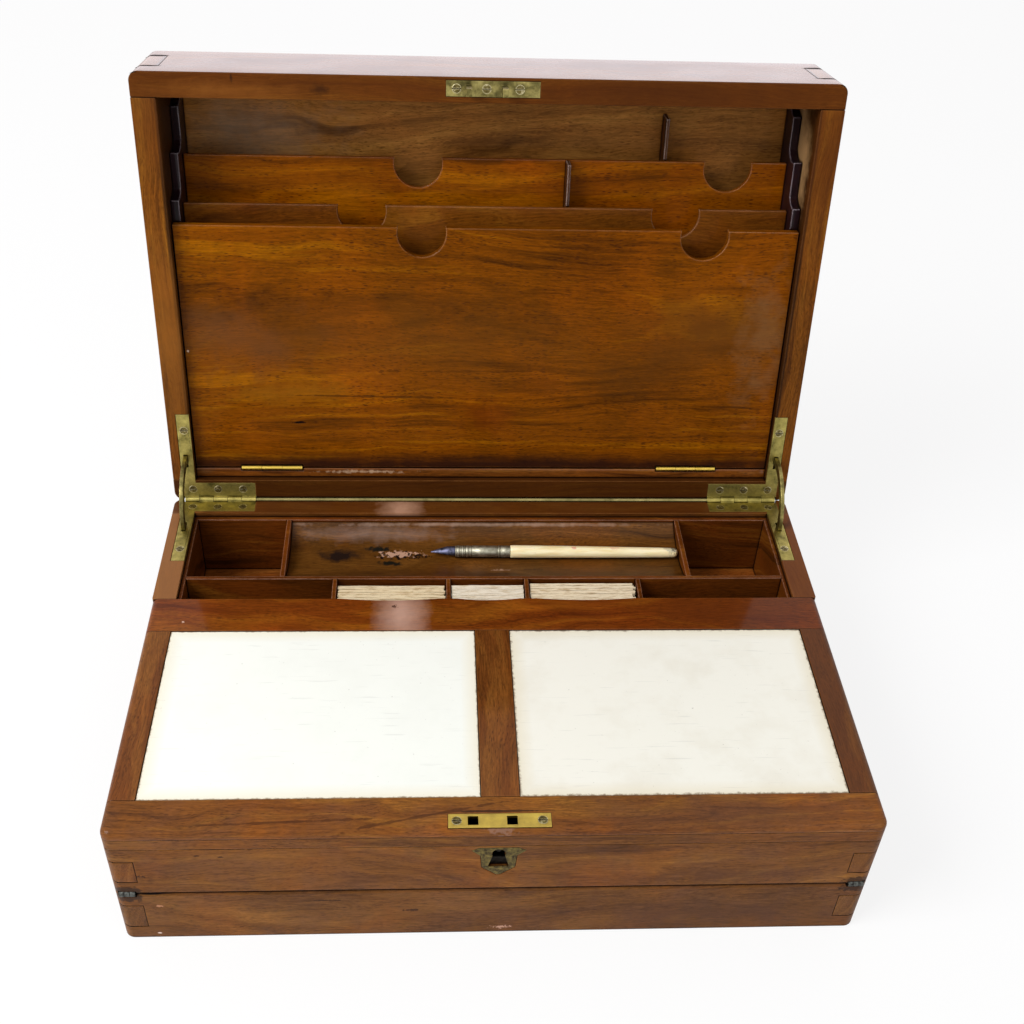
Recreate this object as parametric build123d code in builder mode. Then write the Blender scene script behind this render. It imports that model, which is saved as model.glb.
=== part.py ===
from build123d import *
import os
from math import atan2, cos, degrees, radians, sin

os.makedirs("parts", exist_ok=True)

# ---------------------------------------------------------------- driving sizes (mm, degrees)

length = 400.0  # box, left to right
depth = 265.0  # box, front to back
tray_height = 40.0  # lower tray
case_height = 51.0  # upper case, from the seam to its rim
lid_height = 62.0
wall = 14.0
corner_radius = 5.5  # upright corners, in plan
open_angle = 100.4  # the lid, from closed to its stays' stop
lid_gap = 0.1  # hair line between the closed lid and the rim

board = 6.0  # tray bottom and well floor
rebate = 6.0  # width of the ledge that the tray bottom and the lid's top sit in
lid_board = 9.0
case_end_finger = 10.5  # end fingers of the corner joints of the tray and the upper case
lid_end_finger = 15.5

frame_thickness = 5.5  # writing frame, laid on the bed board
bed_thickness = 7.5
front_rail = 21.2
rear_rail = 27.2
left_stile = 15.0
right_stile = 16.0
muntin = 20.0
muntin_offset = 1.0  # the middle bar stands a little right of centre
frame_edge = 4.0  # rounding of the frame's outer top edges
tablet_drop = 0.4
tablet_play = 0.3

row_width = 20.7  # front row of small compartments
trough_width = 54.0  # wells and pen trough, front to back
trough_span = 248.0  # pen trough, left to right
lining = 2.4
back_lining = 3.3
lining_drop = 3.0  # lining and dividers stand this far below the rim
divider = 2.4
well_divider = 3.0
partition = 2.6
outer_partition = 93.2  # partitions of the front row, from the middle
inner_partition = 24.0
trough_floor_drop = 11.2  # lowest line of the pen trough, below the rim
trough_edge_drop = 4.6
cross_wall = 4.0
lining_joint = 0.02
scallop_depth = 1.6  # finger scallops in the rear rail
scallop_margin = 5.0

leaf = 2.0  # quadrant hinges
leg_width = 8.2
short_leg = 12.0
long_leg_reach = 60.0
short_leg_reach = 52.0
hinge_barrel = 2.3
hinge_play = 0.3
rod_radius = 1.6
rod_fit = 0.05
knuckle_count = 5
knuckle_gap = 0.2
knuckle_start = 6.6  # first knuckle, from the box's end
knuckle_run = 45.4
slot_width = 2.8
slot_heel = 3.5  # the slot, beyond the stay on the rod's side
stay_thickness = 2.4
stay_inset = 8.2  # stay's outer face, from the box's end
stay_inner = 26.5
stay_outer = 31.5
stay_play = 0.5
stud_radius = 1.25
stud_length = 4.2
stud_fit = 0.1
stay_tip = 4.5  # of arc, beyond the stud
mortise_width = 4.8
mortise_end_play = 3.0  # degrees

screw_head = 2.6
screw_head_depth = 1.5
screw_shank = 1.2
screw_length = 11.0
screw_slot = 0.6
pilot_play = 0.05
pilot_end = 1.0  # the pilot hole, beyond the screw's point
short_leg_screw = 4.6  # from the short leg's front edge
long_leg_screw = 11.0  # from the long leg's end
short_leg_screws = (12.0, 28.0, 44.0)  # from the box's end
lock_screw = 4.3  # from the lock plate's end
striker_screw_xs = (-20.4, -3.6, 15.0)

flap_thickness = 5.0
flap_recess = 6.0  # the flap's face, below the lid's rim
flap_drop = 72.4  # the flap's top edge, from the inside of the lid's front wall
flap_play = 0.4
flap_rail = 6.2
flap_rail_depth = 15.0
notch_radius = 14.4
notch_drop = 3.3  # centre of a finger notch, below its edge
rack_divider = 3.0
front_divider_recess = 22.0
rear_divider_recess = 37.0
front_divider_drop = 64.1  # their top edges, from the inside of the lid's front wall
rear_divider_drop = 39.4
cheek = 5.0
cheek_step = 12.0  # radius of the cheeks' hollow steps
cheek_shelf = 5.0  # height of a hollow step
cheek_horn = 4.3  # the cheeks above the edges of the dividers
rack_partition = 2.0
front_partition_x = 46.5
rear_partition_x = 105.8
rear_partition_rise = 24.2  # above the rear divider
front_notches = (-75.8, 113.0)
rear_notches = (-42.2, 145.0)
flap_notches = (-40.0, 129.0)
rail_lip = 0.5  # the flap rail's face, in front of the hinge axis
flap_leaf_edge = 0.8  # wood behind the flap's leaves
cheek_gap = 0.1

flap_hinge_length = 39.0
flap_hinge_leaf = 1.0
flap_hinge_width = 7.0
flap_barrel = 1.6
flap_pin = 0.7
flap_axis_recess = 5.5
flap_hinge_left = -137.0
flap_hinge_right = 132.5
flap_knuckles = 3

slope_inset = 1.0  # slope hinge axis, behind the front face
slope_barrel = 2.0
slope_pin = 0.9
slope_width = 8.4
slope_end = 3.0  # from the box's end
slope_leaf = 1.6
slope_reach = 46.0
slope_knuckles = 3
seam_chamfer = 1.5
cutter_run = 1.0  # cutters run on past a face

lock_line = 6.2  # middle of the lock and striker plates, behind the front face
lock_length = 52.4
lock_width = 8.6
lock_plate_thickness = 2.0
staple_left = -13.6
staple_right = 6.4
staple_width = 4.4
staple_thickness = 3.2
staple_drop = 11.0
eye_width = 2.2
eye_height = 4.2
eye_low = 9.2  # lower edge of the eye, below the rim
socket = 5.4
bolt_throw = 5.0
bolt_play = 0.3
bolt_bar = 3.0
bolt_lift = 4.5  # underside of the bar, above the keyhole's round
bolt_thickness = 1.8
bolt_arm = 3.0
bolt_end_play = 0.4  # the thrown bolt, from the lock case's side
bolt_rest = 2.0  # ledges under the bolt's ends
bolt_rest_play = 0.2
key_way = 9.0  # ledges' distance from the keyhole's middle
lock_case_length = 38.0
lock_case_drop = 31.0
lock_case_depth = 11.6
lock_sheet = 1.2
key_drop = 20.0  # keyhole's round, below the rim
key_post_radius = 1.4
escutcheon_thickness = 0.8
keyhole_radius = 3.6
keyhole_skirt = 5.5
keyhole_foot = 11.0  # below its middle, in the escutcheon and the wood
lock_keyhole_foot = 5.5  # in the lock case
# the right half of the escutcheon's outline, from the keyhole's middle: foot, side and pointed ear
half_shield = [(0, -18.4), (8.6, -11.2), (9.4, -1.4), (13.9, 2.8), (10.0, 5.0), (0, 5.0)]
shield_foot_radius = 2.5

pen_x = 44.0
pen_turn = -1.1
nib_length = 15.5
ferrule_length = 35.0
handle_length = 107.0
handle_thick = 4.1
handle_thin = 3.05
ferrule_radius = 3.65
nib_radius = 3.3
nib_wall = 0.4
pen_rest = 0.05
nib_open = 0.8  # share of the nib's lower half that is cut away
ferrule_taper = 2.0
ferrule_rings = (9.0, 27.0)  # turned grooves, from the ferrule's start
ring_width = 1.2
ring_depth = 0.4
handle_end = 1.6  # bevel of the handle's rounded end

pack_drop = 4.0  # packs' top edge, below the rim
pack_play = 0.6
pack_gaps = (4.5, 4.0, 3.0)  # behind each pack

# ---------------------------------------------------------------- frames of the three boxes

rim = tray_height + case_height
hinge_y = depth / 2
inner_x = length / 2 - wall
inner_y = depth / 2 - wall
front_y = -depth / 2
frame_back = inner_y - back_lining - trough_width - divider - row_width
tablet_depth = frame_back - rear_rail - front_rail - front_y

tray = Plane.XY
case = Plane.XY.offset(tray_height)
case_rim = Plane.XY.offset(rim)
lean = radians(open_angle)
# the lid's frame: its x and y are those of the closed lid, its z runs from the rim to the top
lid = Plane(
    origin=(0, hinge_y - depth / 2 * cos(lean), rim + depth / 2 * sin(lean)),
    x_dir=(1, 0, 0),
    z_dir=(0, sin(lean), cos(lean)),
)
lid_rim = Plane(origin=lid.offset(lid_gap).origin, x_dir=lid.x_dir, z_dir=-lid.z_dir)


def section(frame, x=0.0):
    """The upright cross-section of a box at x: its axes are the box's y and z."""
    return Plane(origin=frame.origin, x_dir=frame.y_dir, z_dir=frame.x_dir).offset(x)


def block(frame, xs, ys, zs, mode=Mode.ADD):
    """A block between pairs of limits in the frame of its box."""
    with BuildSketch(frame.offset(zs[0])) as face:
        with Locations(((xs[0] + xs[1]) / 2, (ys[0] + ys[1]) / 2)):
            Rectangle(xs[1] - xs[0], ys[1] - ys[0])
    extrude(face.sketch, amount=zs[1] - zs[0], mode=mode)


def rod(frame, xs, y, z, radius, mode=Mode.ADD):
    """A round bar along x, or the hole for one."""
    with BuildSketch(section(frame, xs[0])) as face:
        with Locations((y, z)):
            Circle(radius)
    extrude(face.sketch, amount=xs[1] - xs[0], mode=mode)


def write(piece, name):
    piece.part.label = name
    export_step(piece.part, f"parts/{name}.step")


# ---------------------------------------------------------------- screws

with BuildPart() as screw:
    with BuildSketch(Plane.XZ):
        with BuildLine():
            Polyline(
                (0, 0),
                (screw_head, 0),
                (screw_shank, -screw_head_depth),
                (screw_shank, -screw_length),
                (0, -screw_length),
                close=True,
            )
        make_face()
    revolve(axis=Axis.Z)
    with BuildSketch(Plane.XY):
        Rectangle(2 * screw_head, screw_slot)
    extrude(amount=-screw_slot, mode=Mode.SUBTRACT)

leg_x = inner_x + leg_width / 2
quadrant_screws = [(side * leg_x, hinge_y - long_leg_reach + long_leg_screw) for side in (-1, 1)]
quadrant_screws += [
    (side * (length / 2 - x), hinge_y - short_leg + short_leg_screw)
    for side in (-1, 1)
    for x in short_leg_screws
]
lock_y = front_y + lock_line
lock_screws = [(side * (lock_length / 2 - lock_screw), lock_y) for side in (-1, 1)]
striker_screws = [(x, lock_y) for x in striker_screw_xs]


def at(plane, spots):
    return [plane.location * Location((x, y, 0)) for x, y in spots]


def screw_group(plane, spots):
    with BuildPart() as group:
        with Locations(*at(plane, spots)):
            add(screw.part)
    return group


def sinks(plane, spots):
    """Countersunk holes through a brass leaf."""
    with Locations(*at(plane, spots)):
        CounterSinkHole(screw_shank + pilot_play, screw_head, depth=leaf * 2)


def pilots(plane, spots):
    with Locations(*at(plane, spots)):
        Hole(screw_shank + pilot_play, depth=screw_length + pilot_end)


# ---------------------------------------------------------------- cutters shared by wood and brass

leaf_ys = (hinge_y - short_leg, hinge_y)
long_ys = (hinge_y - long_leg_reach, hinge_y - short_leg)


def quadrant_seat(frame, low, high, mode=Mode.SUBTRACT):
    """The L-shaped bed of both quadrant hinges, between two heights of a box."""
    for side in (-1, 1):
        outer = side * (inner_x + leg_width)
        block(frame, sorted((outer, side * (length / 2 - short_leg_reach))), leaf_ys, (low, high), mode)
        block(frame, sorted((outer, side * inner_x)), long_ys, (low, high), mode)


knuckle_xs = (length / 2 - knuckle_start - knuckle_run, length / 2 - knuckle_start)


def hinge_cove(frame, z):
    """The hollows along the back edge that take the knuckles and the rod."""
    rod(frame, (-knuckle_xs[0], knuckle_xs[0]), hinge_y, z, rod_radius + hinge_play, Mode.SUBTRACT)
    for side in (-1, 1):
        xs = sorted((side * (knuckle_xs[0] - hinge_play), side * (knuckle_xs[1] + hinge_play)))
        rod(frame, xs, hinge_y, z, hinge_barrel + hinge_play, Mode.SUBTRACT)


stud_angle = degrees(atan2(leaf + lid_gap + stud_radius + stud_fit, (stay_inner + stay_outer) / 2))
tip_angle = stud_angle + stay_tip
stay_arc = open_angle + 2 * tip_angle
mortise_angle = stay_arc / 2 + mortise_end_play
stay_x = length / 2 - stay_inset - stay_thickness / 2


def arc_band(inner, outer, start, sweep):
    """A flat band of arc about the sketch's origin."""
    with BuildSketch(mode=Mode.PRIVATE) as band:
        with BuildLine():
            CenterArc((0, 0), outer, start, sweep)
            CenterArc((0, 0), inner, start, sweep)
            for angle in (radians(start), radians(start + sweep)):
                Line((inner * cos(angle), inner * sin(angle)), (outer * cos(angle), outer * sin(angle)))
        make_face()
    return band.sketch


def stay_mortise(frame, z, down):
    """The curved mortise of each stay, into the box from its rim at height z."""
    start = 180 if down else 180 - mortise_angle
    for side in (-1, 1):
        with BuildSketch(section(frame, side * stay_x)) as face:
            with Locations((hinge_y, z)):
                add(arc_band(stay_inner - stay_play, stay_outer + stay_play, start, mortise_angle))
        extrude(face.sketch, amount=mortise_width / 2, both=True, mode=Mode.SUBTRACT)


# ---------------------------------------------------------------- finger-jointed boxes


def side_fingers(low, high, end_finger):
    """Heights of the middle finger, which belongs to the side wall."""
    return low + end_finger, high - end_finger


def long_wall(frame, low, high, end_finger, end):
    """A front (end -1) or back (end +1) wall: end fingers at its corners, gaps for the side walls'."""
    middle = side_fingers(low, high, end_finger)
    with BuildPart() as piece:
        with BuildSketch(frame.offset(low)) as plan:
            RectangleRounded(length, depth, corner_radius)
            with Locations((0, end * (depth - wall) / 2)):
                Rectangle(length, wall, mode=Mode.INTERSECT)
        extrude(plan.sketch, amount=high - low)
        for side in (-1, 1):
            xs = sorted((side * inner_x, side * length / 2))
            ys = sorted((end * inner_y, end * depth / 2))
            block(frame, xs, ys, middle, Mode.SUBTRACT)
    return piece


def side_wall(frame, low, high, end_finger, side, front_high=None):
    """A side wall; its front part may end lower, under the writing frame."""
    front_high = high if front_high is None else front_high
    with BuildPart() as piece:
        with BuildSketch(frame.offset(low)) as plan:
            RectangleRounded(length, depth, corner_radius)
            with Locations((side * (length - wall) / 2, 0)):
                Rectangle(wall, depth, mode=Mode.INTERSECT)
        extrude(plan.sketch, amount=high - low)
        xs = sorted((side * inner_x, side * length / 2))
        if front_high < high:
            block(frame, xs, (front_y, frame_back), (front_high, high), Mode.SUBTRACT)
        for end, top in ((-1, front_high), (1, high)):
            ys = sorted((end * inner_y, end * depth / 2))
            middle = side_fingers(low, top, end_finger)
            block(frame, xs, ys, (low, middle[0]), Mode.SUBTRACT)
            block(frame, xs, ys, (middle[1], top), Mode.SUBTRACT)
    return piece


def sunk_board(frame, thickness, low):
    """A board that fills the rebate of its box."""
    with BuildPart() as piece:
        span = 2 * (wall - rebate)
        block(frame, (-length / 2 + span / 2, length / 2 - span / 2),
              (-depth / 2 + span / 2, depth / 2 - span / 2), (low, low + thickness))
    return piece


def board_ledge(frame, low, high):
    edge = wall - rebate
    block(frame, (-length / 2 + edge, length / 2 - edge), (-depth / 2 + edge, depth / 2 - edge),
          (low, high), Mode.SUBTRACT)


# ---------------------------------------------------------------- lower tray

slope_y = front_y + slope_inset
slope_xs = (length / 2 - slope_end - slope_width, length / 2 - slope_end)


def slope_seat(frame, low, high):
    """Beds of the slope hinges' straps and the notches of their barrels, at the seam."""
    for side in (-1, 1):
        xs = sorted(side * x for x in slope_xs)
        block(frame, xs, (slope_y, slope_y + slope_reach), (low, high), Mode.SUBTRACT)


def slope_notch(frame, z):
    for side in (-1, 1):
        xs = sorted((side * (slope_xs[0] - hinge_play), side * (slope_xs[1] + hinge_play)))
        rod(frame, xs, slope_y, z, slope_barrel + hinge_play, Mode.SUBTRACT)


def seam_bevel(frame, z, into):
    """Eased front edge at the seam, into = -1 below it and +1 above it."""
    with BuildSketch(section(frame, -length / 2 - cutter_run)) as face:
        with BuildLine():
            Polyline(
                (front_y - cutter_run, z),
                (front_y + seam_chamfer, z),
                (front_y - cutter_run, z + into * (seam_chamfer + cutter_run)),
                close=True,
            )
        make_face()
    extrude(face.sketch, amount=length + 2 * cutter_run, mode=Mode.SUBTRACT)


def seam_cuts(frame, z, into):
    low, high = sorted((z, z + into * slope_leaf))
    slope_seat(frame, low, high)
    slope_notch(frame, z)
    seam_bevel(frame, z, into)


for name, end in (("tray_front_wall", -1), ("tray_back_wall", 1)):
    tray_long = long_wall(tray, 0, tray_height, case_end_finger, end)
    with tray_long:
        board_ledge(tray, 0, board)
        seam_cuts(tray, tray_height, -1)
    write(tray_long, name)

for name, side in (("tray_left_wall", -1), ("tray_right_wall", 1)):
    tray_side = side_wall(tray, 0, tray_height, case_end_finger, side)
    with tray_side:
        board_ledge(tray, 0, board)
        seam_cuts(tray, tray_height, -1)
    write(tray_side, name)

write(sunk_board(tray, board, 0), "tray_bottom_board")


def knuckles(frame, xs, count, y, z, radius, bore, owned, gap):
    """The owned knuckles of a hinge's barrel, bored for a pin unless bore is 0."""
    pitch = (xs[1] - xs[0]) / count
    for index in owned:
        low, high = xs[0] + index * pitch + gap / 2, xs[0] + (index + 1) * pitch - gap / 2
        rod(frame, (low, high), y, z, radius)
    if bore:
        rod(frame, xs, y, z, bore, Mode.SUBTRACT)


def knuckle_gaps(frame, xs, count, y, z, radius, owned, gap):
    """Room in a leaf for the knuckles of the other leaf."""
    pitch = (xs[1] - xs[0]) / count
    for index in owned:
        low, high = xs[0] + index * pitch - gap / 2, xs[0] + (index + 1) * pitch + gap / 2
        rod(frame, (low, high), y, z, radius, Mode.SUBTRACT)


def slope_leaves(low, high, owned, others, bore):
    """The strap leaves of both slope hinges, in one half of the seam."""
    with BuildPart() as leaves:
        for side in (-1, 1):
            xs = sorted(side * x for x in slope_xs)
            block(tray, xs, (slope_y, slope_y + slope_reach), (low, high))
        for side in (-1, 1):
            xs = sorted(side * x for x in slope_xs)
            barrel = (tray, xs, slope_knuckles, slope_y, tray_height)
            knuckle_gaps(*barrel, slope_barrel + hinge_play, others, knuckle_gap)
            knuckles(*barrel, slope_barrel, bore, owned, knuckle_gap)
    return leaves


slope_lower = slope_leaves(tray_height - slope_leaf, tray_height, (0, 2), (1,), slope_pin)
write(slope_lower, "slope_hinge_lower_leaves")
slope_upper = slope_leaves(tray_height, tray_height + slope_leaf, (1,), (0, 2), slope_pin + rod_fit)
write(slope_upper, "slope_hinge_upper_leaves")

with BuildPart() as slope_pins:
    for side in (-1, 1):
        rod(tray, sorted(side * x for x in slope_xs), slope_y, tray_height, slope_pin)
write(slope_pins, "slope_hinge_pins")

# ---------------------------------------------------------------- lock seat

lock_ys = (lock_y - lock_width / 2, lock_y + lock_width / 2)
lock_xs = (-lock_length / 2, lock_length / 2)
case_ys = (-inner_y - lock_case_depth, -inner_y)
lock_case_xs = (-lock_case_length / 2, lock_case_length / 2)
lock_case_zs = (case_height - lock_case_drop, case_height - lock_plate_thickness)
key_z = case_height - key_drop
bar_zs = (key_z + bolt_lift, key_z + bolt_lift + bolt_bar)


def lock_mortise():
    block(case, lock_xs, lock_ys, (case_height - lock_plate_thickness, case_height), Mode.SUBTRACT)
    block(case, lock_case_xs, case_ys, lock_case_zs, Mode.SUBTRACT)
    pilots(case_rim, lock_screws)


def keyhole(plane, start, through, foot=keyhole_foot):
    """A keyhole: a round with a flared skirt, cut along the plane's normal."""
    flare = keyhole_skirt / 2 * (1 + foot / keyhole_foot)
    with BuildSketch(plane.offset(start)) as face:
        with Locations((0, key_z)):
            Circle(keyhole_radius)
        with BuildLine():
            Polyline(
                (-keyhole_skirt / 2, key_z),
                (keyhole_skirt / 2, key_z),
                (flare, key_z - foot),
                (-flare, key_z - foot),
                close=True,
            )
        make_face()
    extrude(face.sketch, amount=through, mode=Mode.SUBTRACT)


front_face = Plane(origin=(0, front_y, tray_height), x_dir=(1, 0, 0), z_dir=(0, -1, 0))


def shield_face():
    with BuildSketch(front_face.offset(-escutcheon_thickness)) as face:
        with BuildLine():
            Polyline(*[(x, key_z + z) for x, z in half_shield], close=True)
        make_face()
        mirror(about=Plane.YZ)
        fillet(face.vertices().sort_by(Axis.Y)[0], shield_foot_radius)
    return face.sketch


# ---------------------------------------------------------------- upper case

under_frame = case_height - frame_thickness
under_bed = under_frame - bed_thickness


def rear_cuts(frame, z, down):
    """What both quadrant hinges take out of a back or side wall at its rim."""
    low, high = sorted((z, z - leaf if down else z + leaf))
    quadrant_seat(frame, low, high)
    hinge_cove(frame, z - (0 if down else lid_gap))
    stay_mortise(frame, z - (0 if down else lid_gap), down)


case_front = long_wall(case, 0, under_bed, case_end_finger, -1)
with case_front:
    seam_cuts(case, 0, 1)
    block(case, lock_case_xs, case_ys, lock_case_zs, Mode.SUBTRACT)
    keyhole(front_face, -(case_ys[0] - front_y), case_ys[0] - front_y)
    extrude(shield_face(), amount=escutcheon_thickness, mode=Mode.SUBTRACT)
write(case_front, "case_front_wall")

case_back = long_wall(case, 0, case_height, case_end_finger, 1)
with case_back:
    rear_cuts(case, case_height, True)
    pilots(case_rim, quadrant_screws)
write(case_back, "case_back_wall")

for name, side in (("case_left_wall", -1), ("case_right_wall", 1)):
    case_side = side_wall(case, 0, case_height, case_end_finger, side, under_bed)
    with case_side:
        seam_cuts(case, 0, 1)
        rear_cuts(case, case_height, True)
        pilots(case_rim, quadrant_screws)
    write(case_side, name)

# writing frame: two rails across the whole width, with the stiles and the muntin between them

tablet_ys = (front_y + front_rail, front_y + front_rail + tablet_depth)
muntin_xs = (muntin_offset - muntin / 2, muntin_offset + muntin / 2)
tablet_xs = {
    "left_tablet": (-length / 2 + left_stile, muntin_xs[0]),
    "right_tablet": (muntin_xs[1], length / 2 - right_stile),
}
partition_xs = [-outer_partition, -inner_partition, inner_partition, outer_partition]


def frame_piece(xs, ys):
    """A bar of the writing frame, with the box's rounded corners and outer edges."""
    with BuildPart() as piece:
        with BuildSketch(case.offset(under_frame)) as plan:
            RectangleRounded(length, depth, corner_radius)
        extrude(plan.sketch, amount=frame_thickness)
        top = piece.faces().sort_by(Axis.Z)[-1]
        fillet(top.edges(), frame_edge)
        block(case, (-length, length), (frame_back, depth), (under_frame, case_height), Mode.SUBTRACT)
        with BuildSketch(case.offset(under_frame)) as bar:
            with Locations(((xs[0] + xs[1]) / 2, (ys[0] + ys[1]) / 2)):
                Rectangle(xs[1] - xs[0], ys[1] - ys[0])
        extrude(bar.sketch, amount=frame_thickness, mode=Mode.INTERSECT)
    return piece


whole_width = (-length / 2, length / 2)
rail_front = frame_piece(whole_width, (front_y, tablet_ys[0]))
with rail_front:
    lock_mortise()
write(rail_front, "frame_front_rail")

rail_rear = frame_piece(whole_width, (tablet_ys[1], frame_back))
with rail_rear:
    for low, high in zip(partition_xs, partition_xs[1:]):
        width = high - low - 2 * scallop_margin
        radius = (width**2 / 4 + scallop_depth**2) / (2 * scallop_depth)
        with BuildSketch(case.offset(under_frame)) as scallop:
            with Locations(((low + high) / 2, frame_back + radius - scallop_depth)):
                Circle(radius)
        extrude(scallop.sketch, amount=frame_thickness, mode=Mode.SUBTRACT)
write(rail_rear, "frame_rear_rail")

write(frame_piece((-length / 2, tablet_xs["left_tablet"][0]), tablet_ys), "frame_left_stile")
write(frame_piece((tablet_xs["right_tablet"][1], length / 2), tablet_ys), "frame_right_stile")
write(frame_piece(muntin_xs, tablet_ys), "frame_muntin")

with BuildPart() as bed_board:
    with BuildSketch(case.offset(under_bed)) as plan:
        RectangleRounded(length, depth, corner_radius)
    extrude(plan.sketch, amount=bed_thickness)
    block(case, whole_width, (frame_back, depth), (under_bed, under_frame), Mode.SUBTRACT)
    lock_mortise()
write(bed_board, "writing_bed_board")

tablet_high = case_height - tablet_drop
for name, (low, high) in tablet_xs.items():
    with BuildPart() as tablet:
        block(case, (low + tablet_play, high - tablet_play),
              (tablet_ys[0] + tablet_play, tablet_ys[1] - tablet_play),
              (under_frame, tablet_high))
    write(tablet, name)

# fittings of the rear part: floor, cross wall, linings, dividers and the pen trough

lining_top = case_height - lining_drop
row_back = frame_back + row_width
trough_front = row_back + divider
trough_back = trough_front + trough_width
floor_zs = (0, board)
upright = (board, lining_top)
lining_x = inner_x - lining

with BuildPart() as cross_wall_piece:
    block(case, (-inner_x, inner_x), (frame_back - cross_wall, frame_back), (0, under_bed))
write(cross_wall_piece, "compartment_cross_wall")

with BuildPart() as well_floor:
    block(case, (-inner_x, inner_x), (frame_back, inner_y), floor_zs)
write(well_floor, "well_floor")

with BuildPart() as tray_linings:
    block(case, (-inner_x, inner_x), (trough_back, inner_y), upright)
    for side in (-1, 1):
        xs = sorted((side * lining_x, side * inner_x))
        block(case, xs, (frame_back, trough_back - lining_joint), upright)
write(tray_linings, "tray_linings")

with BuildPart() as long_divider:
    block(case, (-lining_x, lining_x), (row_back, trough_front), upright)
write(long_divider, "long_divider")

with BuildPart() as well_dividers:
    for side in (-1, 1):
        xs = sorted((side * trough_span / 2, side * (trough_span / 2 + well_divider)))
        block(case, xs, (trough_front, trough_back), upright)
write(well_dividers, "well_dividers")

with BuildPart() as partitions:
    for x in partition_xs:
        block(case, (x - partition / 2, x + partition / 2), (frame_back, row_back), upright)
write(partitions, "compartment_partitions")

with BuildPart() as pen_trough:
    with BuildSketch(section(case, -trough_span / 2)) as profile:
        edge, low = case_height - trough_edge_drop, case_height - trough_floor_drop
        middle = (trough_front + trough_back) / 2
        with BuildLine():
            ThreePointArc((trough_front, edge), (middle, low), (trough_back, edge))
            Polyline((trough_back, edge), (trough_back, board), (trough_front, board), (trough_front, edge))
        make_face()
    extrude(profile.sketch, amount=trough_span)
write(pen_trough, "pen_trough")

# ---------------------------------------------------------------- quadrant hinges

def quadrant_leaf(frame, rim_plane, side, z, thickness, owned, others, spots, bore):
    """An L-shaped leaf: a long leg with the stay's slot, a short leg with the knuckles."""
    outer = inner_x + leg_width
    with BuildPart() as piece:
        low, high = sorted((z, z + thickness))
        block(frame, sorted((side * outer, side * (length / 2 - short_leg_reach))), leaf_ys, (low, high))
        block(frame, sorted((side * outer, side * inner_x)), long_ys, (low, high))
        axis_z = z - (lid_gap if thickness > 0 else 0)
        xs = sorted(side * x for x in knuckle_xs)
        barrel = (frame, xs, knuckle_count, hinge_y, axis_z)
        block(frame, sorted((side * knuckle_xs[1], side * outer)), (hinge_y - hinge_barrel, hinge_y),
              (low, high), Mode.SUBTRACT)
        knuckle_gaps(*barrel, hinge_barrel + hinge_play, others, knuckle_gap)
        knuckles(*barrel, hinge_barrel, bore, owned, knuckle_gap)
        slot = (side * stay_x - slot_width / 2, side * stay_x + slot_width / 2)
        block(frame, slot, (hinge_y - stay_outer - stay_play, hinge_y - stay_inner + slot_heel), (low, high),
              Mode.SUBTRACT)
        sinks(rim_plane, [spot for spot in spots if spot[0] * side > 0])
    return piece


owned_by_lid, owned_by_case = (0, 2, 4), (1, 3)


def flipped(spots):
    """Places on the rim as the lid's rim plane, which faces down, counts them."""
    return [(x, -y) for x, y in spots]


for name, side in (("left", -1), ("right", 1)):
    case_leaf = quadrant_leaf(
        case, case_rim, side, case_height, -leaf, owned_by_case, owned_by_lid,
        quadrant_screws, rod_radius,
    )
    write(case_leaf, f"{name}_hinge_case_leaf")
    lid_leaf = quadrant_leaf(
        lid, lid_rim, side, lid_gap, leaf, owned_by_lid, owned_by_case,
        flipped(quadrant_screws), rod_radius + rod_fit,
    )
    write(lid_leaf, f"{name}_hinge_lid_leaf")

with BuildPart() as hinge_rod:
    rod(case, (-knuckle_xs[1], knuckle_xs[1]), hinge_y, case_height, rod_radius)
write(hinge_rod, "hinge_rod")

write(screw_group(case_rim, quadrant_screws + lock_screws), "case_screws")
write(screw_group(lid_rim, flipped(quadrant_screws + striker_screws)), "lid_screws")

# each stay is an arc about the hinge rod; its studs catch under the slots when the lid is fully open
stay_middle = (stay_inner + stay_outer) / 2
stay_start = 180 - open_angle - tip_angle
stud_angles = (180 + stud_angle, 180 - open_angle - stud_angle)
for name, side in (("left_stay", -1), ("right_stay", 1)):
    with BuildPart() as stay:
        with BuildSketch(section(case, side * stay_x)) as face:
            with Locations((hinge_y, case_height)):
                add(arc_band(stay_inner, stay_outer, stay_start, stay_arc))
        extrude(face.sketch, amount=stay_thickness / 2, both=True)
        with BuildSketch(section(case, side * stay_x)) as studs:
            for angle in (radians(a) for a in stud_angles):
                with Locations((hinge_y + stay_middle * cos(angle), case_height + stay_middle * sin(angle))):
                    Circle(stud_radius)
        extrude(studs.sketch, amount=stud_length / 2, both=True)
    write(stay, name)

# ---------------------------------------------------------------- lock

with BuildPart() as lock_plate:
    block(case, lock_xs, lock_ys, (lock_case_zs[1], case_height))
    for x in (staple_left, staple_right):
        block(case, (x - socket / 2, x + socket / 2), (lock_y - socket / 2, lock_y + socket / 2),
              (lock_case_zs[1], case_height), Mode.SUBTRACT)
    sinks(case_rim, lock_screws)
write(lock_plate, "lock_plate")

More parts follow.
